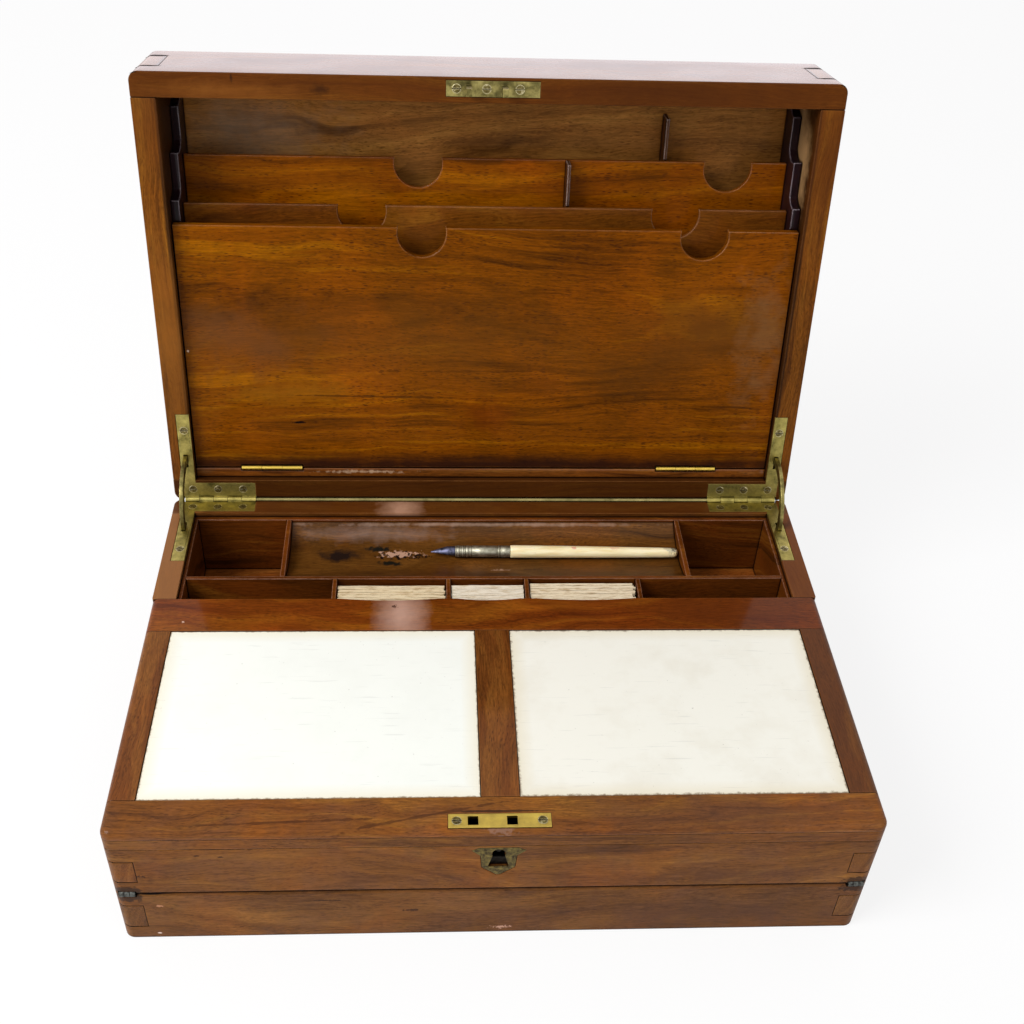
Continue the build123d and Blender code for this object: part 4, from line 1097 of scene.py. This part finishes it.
@dataclass
class Lid:
    """The lid's box and the letter rack in it."""

    place: LidPlace = field(default_factory=LidPlace)
    flap_marks: tuple[tuple, ...] = (
        # painted sheen: a greyer patch at the flap's left
        (-150.0, 107.0, (58.0, 24.0), "#5f3c22", 0.6, 0.0, 0.5, 22.0),
        (-50.0, 108.0, (170.0, 38.0), "#5c370f", 0.5, 0.0, 0.25, 26.0),
        # painted light: the flap lighter at its lower left
        (-120.0, 73.0, (60.0, 9.5), "#93600f", 0.4, 0.0, 0.4, 14.0),
        (-70.0, 70.5, (66.0, 0.8), "#3a1d06", 0.6, -4.0, 0.6, 8.0),
        (-10.0, 88.0, (60.0, 0.7), "#3a1d06", 0.4, 2.0, 0.9, 8.0),
        (0.0, 58.0, (22.0, 12.0), "#5a2204", 0.5, 0.0, 0.6, 10.0),
        # painted shade: the flap darker towards its right
        (97.0, 88.0, (62.0, 28.0), "#5c350c", 0.35, 0.0, 0.5, 22.0),
        (136.0, 118.0, (62.0, 28.0), "#5c340c", 0.85, 0.0, 0.3, 22.0),
        # painted sheen: a paler grey patch at the flap's right edge
        (173.0, 110.0, (20.0, 50.0), "#7c5a38", 0.4, 0.0, 0.7, 16.0),
        # painted shade: a dark band along the flap's foot, by its hinge
        (0.0, 22.8, (900.0, 9.6), "#27120c", 0.92, 0.0, 0.18, 14.0),
        (-117.9, 52.4, (4.6, 0.9), "#120703", 1.0, 8.0, 0.3, 1.5),
        (-183.5, 100.2, (0.9, 0.8), "#e0c8b0", 0.9, 0.0, 0.4, 0.8),
        (194.0, 33.0, (0.9, 0.8), "#e0c8b0", 0.9, 0.0, 0.4, 0.8),
    )

    def build(self) -> None:
        """Dresses the lid's boards and the rack's."""
        glued = tuple(self._mark(side * 192.5, 265.0, recess, (9.0, 5.0), "#0d0503", 1.0,
            ragged=0.12, deep_mm=deep, soft=0.3, matt=True) for recess,
            deep in ((15.6, 2.1), (46.4, 3.0)) for side in (-1, 1))
        top_marks = (
            self._mark(0.0, 258.0, 0.0, (330.0, 26.0), "#4f2506", 0.62, ragged=0.2, ragged_mm=18.0,
                deep_mm=3.0),
            # painted shade: the right part of the lid's top rim darker
            self._mark(115.0, 258.0, 0.0, (120.0, 16.0), "#3f1c07", 0.5, ragged=0.3, ragged_mm=18.0,
                deep_mm=5.0, soft=0.9),
            self._mark(-96.0, 257.0, 0.0, (7.0, 3.5), "#2c1608", 0.7, ragged_mm=4.0, soft=0.9),
            self._mark(-144.0, 262.0, 0.0, (0.8, 3.0), "#2c1608", 0.7, turn=8.0, ragged=0.3),
            # painted light: the left end of the lid's top rim lighter
            self._mark(-150.0, 255.0, 0.0, (50.0, 8.0), "#8a5320", 0.45, ragged=0.3, ragged_mm=14.0,
                soft=0.9),
        ) + glued
        Board("lid_front_wall", LID_TOP_RIM, Grain.ALONG_LENGTH, LID_LEAN, 0.6, top_marks,
            LID_FRONT_SIDE).build()
        # painted shade: the lid's back wall darker along its rim by the hinge
        shaded = self._mark(0.0, 5.0, 0.0, (420.0, 26.0), "#371a06", 0.82, ragged=0.1,
            ragged_mm=18.0, deep_mm=8.0)
        Board("lid_back_wall", LID_RIM, Grain.ALONG_LENGTH, LID_LEAN, marks=(shaded,),
            clamp=True).build()
        patch = {"ragged": 0.2, "ragged_mm": 18.0, "deep_mm": 9.0, "soft": 0.9}
        patches = {
            "lid_left_wall": (
                # painted shade at the top of the left wall's rim, and painted light lower down
                self._mark(-193.0, 240.0, 0.0, (30.0, 42.0), "#5c3212", 0.5, **patch),
                self._mark(-193.0, 110.0, 0.0, (30.0, 70.0), "#8f5820", 0.55, **patch),
            ),
            "lid_right_wall": (
                # painted shade: the top of the right wall's rim darker
                self._mark(193.0, 225.0, 0.0, (30.0, 70.0), "#54290b", 0.6, **patch),
                self._mark(186.0, 212.0, 36.0, (3.4, 46.0), "#a07c52", 0.9, ragged=0.2,
                    ragged_mm=9.0, deep_mm=31.0, soft=0.5),
            ),
        }
        for node, side in (("lid_left_wall", -1), ("lid_right_wall", 1)):
            # painted shade: a dark strip on the walls' inner faces in the narrow gaps beside the
            # flap
            gap_shade = self._mark(side * 186.0, 150.0, 30.0, (2.4, 190.0), "#1d0e06", 0.85, ragged=0.05,
                ragged_mm=12.0, deep_mm=120.0)
            Board(node, LID_RIM, Grain.ALONG_DEPTH, LID_LEAN, 0.6, (gap_shade, *glued, *patches[node]),
                LID_FRONT_SIDE).build()
        haze = self._mark(-140.0, 215.0, 55.0, (62.0, 40.0), "#8d7660", 0.5, ragged=0.4,
            ragged_mm=18.0, deep_mm=12.0, soft=0.9)
        outer = self._mark(0.0, 133.0, 62.0, (420.0, 320.0), "#683c16", 0.6, ragged=0.05,
            deep_mm=5.0)
        Board("lid_top_board", BACK_PANEL, Grain.ALONG_LENGTH, LID_LEAN,
            marks=(haze, outer)).build()
        Board("rack_front_divider", FRONT_DIVIDER, Grain.ALONG_LENGTH, LID_LEAN).build()
        Board("rack_rear_divider", RACK, Grain.ALONG_LENGTH, LID_LEAN).build()
        Board("rack_partitions", SHADED_PARTITION, Grain.ALONG_DEPTH, LID_LEAN, edge_mm=0.5).build()
        Board("rack_cheeks", EBONISED, Grain.ALONG_DEPTH, LID_LEAN).build()
        # painted highlight: a pale line along the bead of the flap's hinge rail
        glow = self._mark(-77.0, 18.0, 5.0, (32.0, 1.2), "#d9b897", 0.55, ragged=0.8, ragged_mm=2.5,
            deep_mm=8.0, soft=0.9)
        Board("flap_hinge_rail", BEAD, Grain.ALONG_LENGTH, LID_LEAN, marks=(glow,)).build()
        marks = tuple(self._on_flap(*mark) for mark in self.flap_marks)
        Board("fall_flap", FLAP, Grain.ALONG_LENGTH, LID_LEAN, edge_mm=0.5, marks=marks).build()

    def _mark(self, x: float, up: float, recess: float, half_mm: tuple[float, float], colour: str,
            strength: float, **shape: float) -> Mark:
        """A mark on the open lid.

        Args:
            x: across the box, in millimetres.
            up: height along the lid from its hinge, in millimetres.
            recess: depth into the lid from its rim, in millimetres.
            half_mm: half its length and half its height.
            colour: its colour.
            strength: how much of it covers the wood.
            shape: the mark's other fields.

        Returns:
            The mark.
        """
        return Mark(self.place.at(x, up, recess), half_mm, colour, strength, lean=LID_LEAN, **shape)

    def _on_flap(self, x: float, up: float, half_mm: tuple[float, float], colour: str,
            strength: float, turn: float, ragged: float, ragged_mm: float) -> Mark:
        """A mark on the flap's face.

        Args:
            x: across the box, in millimetres.
            up: height above the lid's hinge, in millimetres.
            half_mm: half its length and half its height.
            colour: its colour.
            strength: how much of it covers the wood.
            turn: its tilt on the face, in degrees.
            ragged: how broken its outline is.
            ragged_mm: the size of those breaks.

        Returns:
            The mark.
        """
        soft = 0.9 if min(half_mm) > 9.0 else 0.35
        return self._mark(x, up, 6.0, half_mm, colour, strength, turn=turn, ragged=ragged,
            ragged_mm=ragged_mm, deep_mm=9.0, soft=soft)


@dataclass
class Fittings:
    """Hinges, stays, screws and the lock."""

    plain: AgedBrass = AgedBrass(bright="#c0b064", dull="#8b8046", tarnish="#5a532b")
    bright: AgedBrass = AgedBrass(bright="#e2c25c", dull="#c2a445", tarnish="#8a7430", cover=0.2,
        roughness=(0.22, 0.4))
    greened: AgedBrass = AgedBrass(bright="#85753f", dull="#4a402a", tarnish="#231710",
        roughness=(0.38, 0.58), mottle_mm=2.4)
    dulled: AgedBrass = AgedBrass(bright="#b9aa68", dull="#6c6339", tarnish="#474226", cover=0.6)
    handled: AgedBrass = AgedBrass(bright="#aea06a", dull="#857b4e", tarnish="#544d30", cover=0.6,
        roughness=(0.24, 0.36), mottle_mm=14.0, grime_and_shade=0.25)
    # lock plate brass: rubbed, with painted highlights on its edges
    rubbed_and_highlit: AgedBrass = AgedBrass(bright="#dcbe58", dull="#b79c4e", tarnish="#7d6c44", cover=0.35,
        roughness=(0.26, 0.42), mottle_mm=9.0)
    # screw heads: pale rims, rubbed brass with painted highlights
    turned: AgedBrass = AgedBrass(bright="#f2e6b8", dull="#75683c", tarnish="#3a3120", cover=1.0,
        roughness=(0.3, 0.5), mottle_mm=3.0)
    iron: WorkedSteel = WorkedSteel("#2e2a26", "#181512", 0.6)
    rusted: WorkedSteel = WorkedSteel("#5c5e5a", "#2d2b29", 0.5, 1.6)

    def build(self) -> None:
        """Dresses the metalwork."""
        plain = ("left_hinge_case_leaf", "right_hinge_case_leaf")
        leaning = ("left_hinge_lid_leaf", "right_hinge_lid_leaf")
        bright = ("flap_hinge_rail_leaves", "flap_hinge_flap_leaves")
        for node in plain:
            self._dress(node, self.plain.material(node), 0.15)
        for node in leaning:
            self._dress(node, self.plain.material(node, LID_LEAN), 0.15)
        for node in bright:
            self._dress(node, self.bright.material(node, LID_LEAN), 0.1)
        self._dress("lock_plate", self.rubbed_and_highlit.material("lock_plate"), 0.2)
        self._dress("escutcheon", self.greened.material("escutcheon"), 0.25)
        self._dress("striker_plate", self.dulled.material("striker_plate", LID_LEAN), 0.15)
        for node in ("left_stay", "right_stay"):
            self._dress(node, self.dulled.material(node), 0.3)
        self._dress("hinge_rod", self.handled.material("hinge_rod"), 0.1)
        self._dress("case_screws", self.turned.material("case_screws"), 0.12, True)
        self._dress("lid_screws", self.turned.material("lid_screws", LID_LEAN), 0.12, True)
        for node in ("lock_case", "lock_bolt"):
            self._dress(node, self.iron.material(node), 0.15)
        for node in ("slope_hinge_lower_leaves", "slope_hinge_upper_leaves", "slope_hinge_pins"):
            self._dress(node, self.rusted.material(node), 0.15)

    def _dress(self, node: str, material: Material, edge_mm: float, clamp: bool = False) -> None:
        """Dresses one fitting and eases its edges."""
        ease(dress(node, material), edge_mm, clamp=clamp)
        log.info("dressed %s", node)


@dataclass
class DipPen:
    """A steel-nibbed dip pen with a ringed ferrule and a bone handle."""

    segments: int = 48
    thin_mm: float = 3.05
    nib_sheet_mm: float = 0.35
    rings_mm: tuple[float, ...] = (1.2, 3.0, 4.0, 5.6, 6.6, 9.0, 10.4, 27.0, 28.6)
    ring_deep_mm: float = 0.35
    ring_half_mm: float = 0.35
    start: Vector = field(init=False)
    turn: Matrix = field(init=False)

    def __post_init__(self) -> None:
        """Finds the pen's axis in the frame: the round solids' boxes are centred on it."""
        low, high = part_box("pen_ferrule")
        middle = (low + high) / 2
        far_low, far_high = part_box("pen_handle")
        along = ((far_low + far_high) / 2 - middle).normalized()
        self.ferrule_mm = (high.x - low.x) / along.x / MM
        self.handle_mm = (far_high.x - far_low.x) / along.x / MM
        nib_low, nib_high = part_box("pen_nib")
        self.nib_mm = (nib_high.x - nib_low.x) / along.x / MM
        self.ferrule_radius = (high.z - low.z) / 2 / MM
        self.thick_mm = (far_high.z - far_low.z) / 2 / MM
        self.start = middle - along * self.ferrule_mm / 2 * MM
        self.turn = Matrix.Rotation(math.atan2(along.y, along.x), 4, "Z")

    def build(self) -> None:
        """Builds the three pieces in place of their solids."""
        self._ride(self._nib(), "pen_nib")
        self._ride(self._ferrule(), "pen_ferrule")
        self._ride(self._handle(), "pen_handle")

    def _ride(self, piece: Object, node: str) -> None:
        """Puts a piece on the pen's axis and lets it stand for its node.

        Args:
            piece: one of the three pieces.
            node: the node that it stands for.
        """
        piece.data.transform(Matrix.Translation(self.start) @ self.turn)
        for face in piece.data.polygons:
            face.use_smooth = True
        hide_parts(node)
        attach(piece, "pen")

    def _lathe(self, profile: list[tuple[float, float]]) -> BMesh:
        """Turns a profile about the pen's axis.

        Args:
            profile: distance along the axis and radius, in millimetres.

        Returns:
            The turned shape.
        """
        shape = bmesh.new()
        rows = []
        for x, radius in profile:
            if radius == 0:
                rows.append([shape.verts.new((x * MM, 0.0, 0.0))])
                continue
            angles = [2 * math.pi * i / self.segments for i in range(self.segments)]
            rows.append([shape.verts.new((x * MM, radius * MM * math.cos(a),
                radius * MM * math.sin(a))) for a in angles])
        for near, far in zip(rows, rows[1:]):
            for i in range(self.segments):
                j = (i + 1) % self.segments
                corners = [near[i % len(near)], near[j % len(near)], far[j % len(far)],
                    far[i % len(far)]]
                shape.faces.new(list(dict.fromkeys(corners)))
        return shape

    def _ferrule(self) -> Object:
        """The ferrule: a tube with turned rings, drawn in a little where the nib enters."""
        radius, half, deep = self.ferrule_radius, self.ring_half_mm, self.ring_deep_mm
        profile = [(0.0, 0.0), (0.0, radius - 0.5), (0.4, radius - 0.2)]
        for ring in self.rings_mm:
            profile += [(ring - half, radius), (ring - half / 2, radius - deep),
                (ring + half / 2, radius - deep), (ring + half, radius)]
        profile += [(self.ferrule_mm - 0.4, radius), (self.ferrule_mm, radius - 0.3),
            (self.ferrule_mm, 0.0)]
        finish = WorkedSteel("#aeaa98", "#7e7966", 0.5)
        return mesh_piece("ringed_ferrule", self._lathe(profile), finish.material("ferrule"))

    def _handle(self) -> Object:
        """The handle: a long taper with a slight swell and a round end."""
        start, length = self.ferrule_mm, self.handle_mm
        profile = [(start, 0.0), (start, self.thick_mm - 0.35), (start + 0.5, self.thick_mm - 0.1)]
        for i in range(1, 13):
            share = i / 12
            swell = 0.12 * math.sin(math.pi * share)
            radius = self.thick_mm + (self.thin_mm - self.thick_mm) * share + swell
            profile.append((start + 0.5 + (length - self.thin_mm - 0.5) * share,
                min(radius, self.thick_mm)))
        for i in range(1, 8):
            angle = math.pi / 2 * i / 8
            profile.append((start + length - self.thin_mm * (1 - math.sin(angle)),
                self.thin_mm * math.cos(angle)))
        profile.append((start + length, 0.0))
        low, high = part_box("pen_handle")
        top = high.z / MM
        across = (low.y + high.y) / 2 / MM
        pink = Mark((56.0, across, top - 0.5), (1.6, 1.2), "#e58e7c", 0.7, ragged=0.8,
            ragged_mm=1.5)
        faint = Mark((82.0, across, top - 0.7), (3.0, 1.4), "#e8a98c", 0.45, ragged=0.8,
            ragged_mm=2.0)
        grey = Mark((118.5, across, top - 1.6), (5.0, 4.0), "#a29a84", 0.6, ragged=0.4,
            ragged_mm=2.0)
        dark = Mark((120.5, across, top - 1.6), (2.4, 3.0), "#2f2a22", 0.8, ragged=1.4,
            ragged_mm=0.9)
        return mesh_piece("bone_handle", self._lathe(profile), PolishedBone().material("handle",
            (pink, faint, grey, dark)))

    def _nib(self) -> Object:
        """The nib: a rolled steel sheet that narrows in a hollow curve to a slit point."""
        shape = bmesh.new()
        along, across = 22, 12
        rows = []
        for i in range(along + 1):
            share = i / along
            radius = self.ferrule_radius * 0.9
            if share > 0.3:
                radius *= (1 - (share - 0.3) / 0.7) ** 0.75 * 0.97 + 0.03
            opening = math.radians(105 - 35 * share)
            row = []
            for j in range(across + 1):
                angle = -opening + 2 * opening * j / across
                lift = -self.ferrule_radius * 0.25 * share
                row.append(shape.verts.new((
                    -self.nib_mm * share * MM,
                    radius * math.sin(angle) * MM,
                    (radius * math.cos(angle) + lift) * MM,
                )))
            rows.append(row)
        for near, far in zip(rows, rows[1:]):
            for j in range(across):
                shape.faces.new([near[j], near[j + 1], far[j + 1], far[j]])
        piece = mesh_piece("steel_nib", shape, WorkedSteel("#666880", "#33343e", 0.5,
            2.2).material("nib"))
        sheet = piece.modifiers.new("sheet", "SOLIDIFY")
        sheet.thickness = self.nib_sheet_mm * MM
        sheet.offset = -1
        return piece


@dataclass
class CardPack:
    """A pack of small cards, standing on edge in its compartment, with uneven edges."""

    node: str
    body: str
    finish: CutCard
    thickness_mm: float = 1.5
    uneven_mm: float = 0.7
    ragged_end: bool = False

    def build(self) -> None:
        """Builds the cards in place of the pack's solid."""
        low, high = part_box(self.node)
        rng = random.Random(self.node)
        shape = bmesh.new()
        at = low.y + 0.05 * MM
        while at < high.y - 0.6 * MM:
            thick = min(self.thickness_mm * rng.uniform(0.7, 1.3) * MM, high.y - at)
            start = low.x + rng.uniform(0.0, 0.6) * self.uneven_mm * MM
            end = high.x - rng.uniform(0.0, 1.0) * self.uneven_mm * MM
            if self.ragged_end:
                end -= rng.choice((0.0, 0.6, 1.4, 2.2)) * MM
            top = high.z - rng.uniform(0.0, 1.0) * self.uneven_mm * 0.6 * MM
            self._card(shape, rng, (start, end), (at, at + thick * 0.93), (low.z, top))
            at += thick
        piece = mesh_piece(self.node.replace("_pack", "s"), shape, self.finish.material(self.node))
        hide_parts(self.node)
        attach(piece, self.body)

    def _card(self, shape: BMesh, rng: random.Random, xs: tuple[float, float],
            ys: tuple[float, float], zs: tuple[float, float]) -> None:
        """Adds one card with a slightly bowed face and a worn top edge.

        Args:
            shape: the pack's shape.
            rng: the pack's own random numbers.
            xs: limits along the compartment, in metres.
            ys: limits across the card's thickness.
            zs: floor and top edge.
        """
        steps = 14
        ring = []
        phase = rng.uniform(0, 6)
        for i in range(steps + 1):
            x = xs[0] + (xs[1] - xs[0]) * i / steps
            bow = 0.08 * MM * math.sin(phase + i * 0.7)
            drop = rng.uniform(0.0, 0.16) * MM
            ring.append([shape.verts.new((x, y, z)) for y, z in ((ys[0] + bow, zs[0]),
                (ys[1] + bow, zs[0]), (ys[1] + bow, zs[1] - drop), (ys[0] + bow, zs[1] - drop))])
        for near, far in zip(ring, ring[1:]):
            for j in range(4):
                k = (j + 1) % 4
                shape.faces.new([near[j], near[k], far[k], far[j]])
        shape.faces.new(ring[0])
        shape.faces.new(ring[-1][::-1])


# ------------------------------------------------------------------------------ studio


@dataclass
class Studio:
    """A plain pale floor, soft light and the camera."""

    camera_at: tuple[float, float, float] = (-0.035759, -0.530026, 0.623127)
    camera_turn: tuple[float, float, float] = (48.962, -2.001, -2.339)
    lens: float = 45.466
    shift: tuple[float, float] = (0.01308, 0.03897)

    def build(self) -> None:
        """Sets up the floor, world, lamps and camera."""
        self._floor()
        self._world()
        self._lamp("key", (-1.4, -0.7, 1.6), 1.1, 38.0)
        self._lamp("fill", (1.2, -1.4, 1.4), 1.4, 4.0)
        self._lamp("back", (0.0, 2.4, 0.6), 2.4, 12.5, "#ffeefa")
        self._camera()
        bpy.context.scene.view_settings.view_transform = "Standard"

    def _floor(self) -> None:
        """A wide white floor that shows near white and keeps the object's shadow."""
        shape = bmesh.new()
        bmesh.ops.create_grid(shape, x_segments=1, y_segments=1, size=4.0)
        material, tree = new_material("studio_floor")
        paper = add_node(tree, "BsdfDiffuse", {"Color": "#fbfbfb"})
        glow = add_node(tree, "Emission", {"Color": "#ffffff", "Strength": 1.0})
        path = add_node(tree, "LightPath", out="Is Camera Ray")
        half = add_node(tree, "Math", {0: path, 1: 0.82}, operation="MULTIPLY")
        both = add_node(tree, "MixShader", {0: half, 1: paper, 2: glow})
        add_node(tree, "OutputMaterial", {"Surface": both})
        floor = mesh_piece("floor", shape, material)
        floor.location.z = -0.0002

    def _world(self) -> None:
        """A white surround: full white to the eye and in reflections, softer as a light."""
        world = bpy.data.worlds.new("studio")
        bpy.context.scene.world = world
        world.use_nodes = True
        tree = world.node_tree
        tree.nodes.clear()
        path = add_node(tree, "LightPath").node
        seen = add_node(tree, "Math", {0: path.outputs["Is Camera Ray"],
            1: path.outputs["Is Glossy Ray"]}, operation="MAXIMUM")
        through = add_node(tree, "Math", {0: seen, 1: path.outputs["Is Transmission Ray"]},
            operation="MAXIMUM")
        strength = add_node(tree, "MapRange", {"Value": through, "To Min": 0.5, "To Max": 1.0})
        light = add_node(tree, "Background", {"Color": "#ffffff", "Strength": strength})
        add_node(tree, "OutputWorld", {"Surface": light})

    def _lamp(self, name: str, at: tuple[float, float, float], size: float, power: float,
            colour: str = "#ffffff") -> None:
        """A square soft lamp that looks at the middle of the box.

        Args:
            name: the lamp's name.
            at: its place in metres.
            size: its side in metres.
            power: its power in watts.
            colour: its colour.
        """
        data = bpy.data.lights.new(name, "AREA")
        data.size = size
        data.energy = power
        data.color = linear(colour)[:3]
        lamp = bpy.data.objects.new(name, data)
        lamp.location = at
        lamp.rotation_euler = (Vector((0, 0, 0.1)) - Vector(at)).to_track_quat("-Z", "Y").to_euler()
        bpy.context.scene.collection.objects.link(lamp)

    def _camera(self) -> None:
        """The camera, above the front and a little to the left."""
        data = bpy.data.cameras.new("camera")
        data.lens = self.lens
        data.sensor_width = 36.0
        data.shift_x, data.shift_y = self.shift
        data.clip_start = 0.01
        camera = bpy.data.objects.new("camera", data)
        camera.location = self.camera_at
        camera.rotation_euler = Euler([math.radians(a) for a in self.camera_turn])
        bpy.context.scene.collection.objects.link(camera)
        bpy.context.scene.camera = camera


# ------------------------------------------------------------------------------ assembly


def main() -> None:
    """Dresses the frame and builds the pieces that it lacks."""
    logging.basicConfig(level=logging.INFO, format="%(message)s")
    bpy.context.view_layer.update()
    for part in (LowerTray(), UpperCase(), WritingTablets(), Lid(), Fittings(), DipPen()):
        part.build()
    CardPack("left_card_pack", "left_pack", CutCard("#e4d2ae", "#b2946a"), uneven_mm=1.2).build()
    CardPack("middle_card_pack", "middle_pack", CutCard("#eadfcb", "#c6b08c"),
        uneven_mm=0.5).build()
    CardPack("right_card_pack", "right_pack", CutCard("#e8d8ba", "#b89c74"), uneven_mm=0.6,
        ragged_end=True).build()
    Studio().build()
    bpy.context.view_layer.update()


if __name__ == "__main__":
    main()
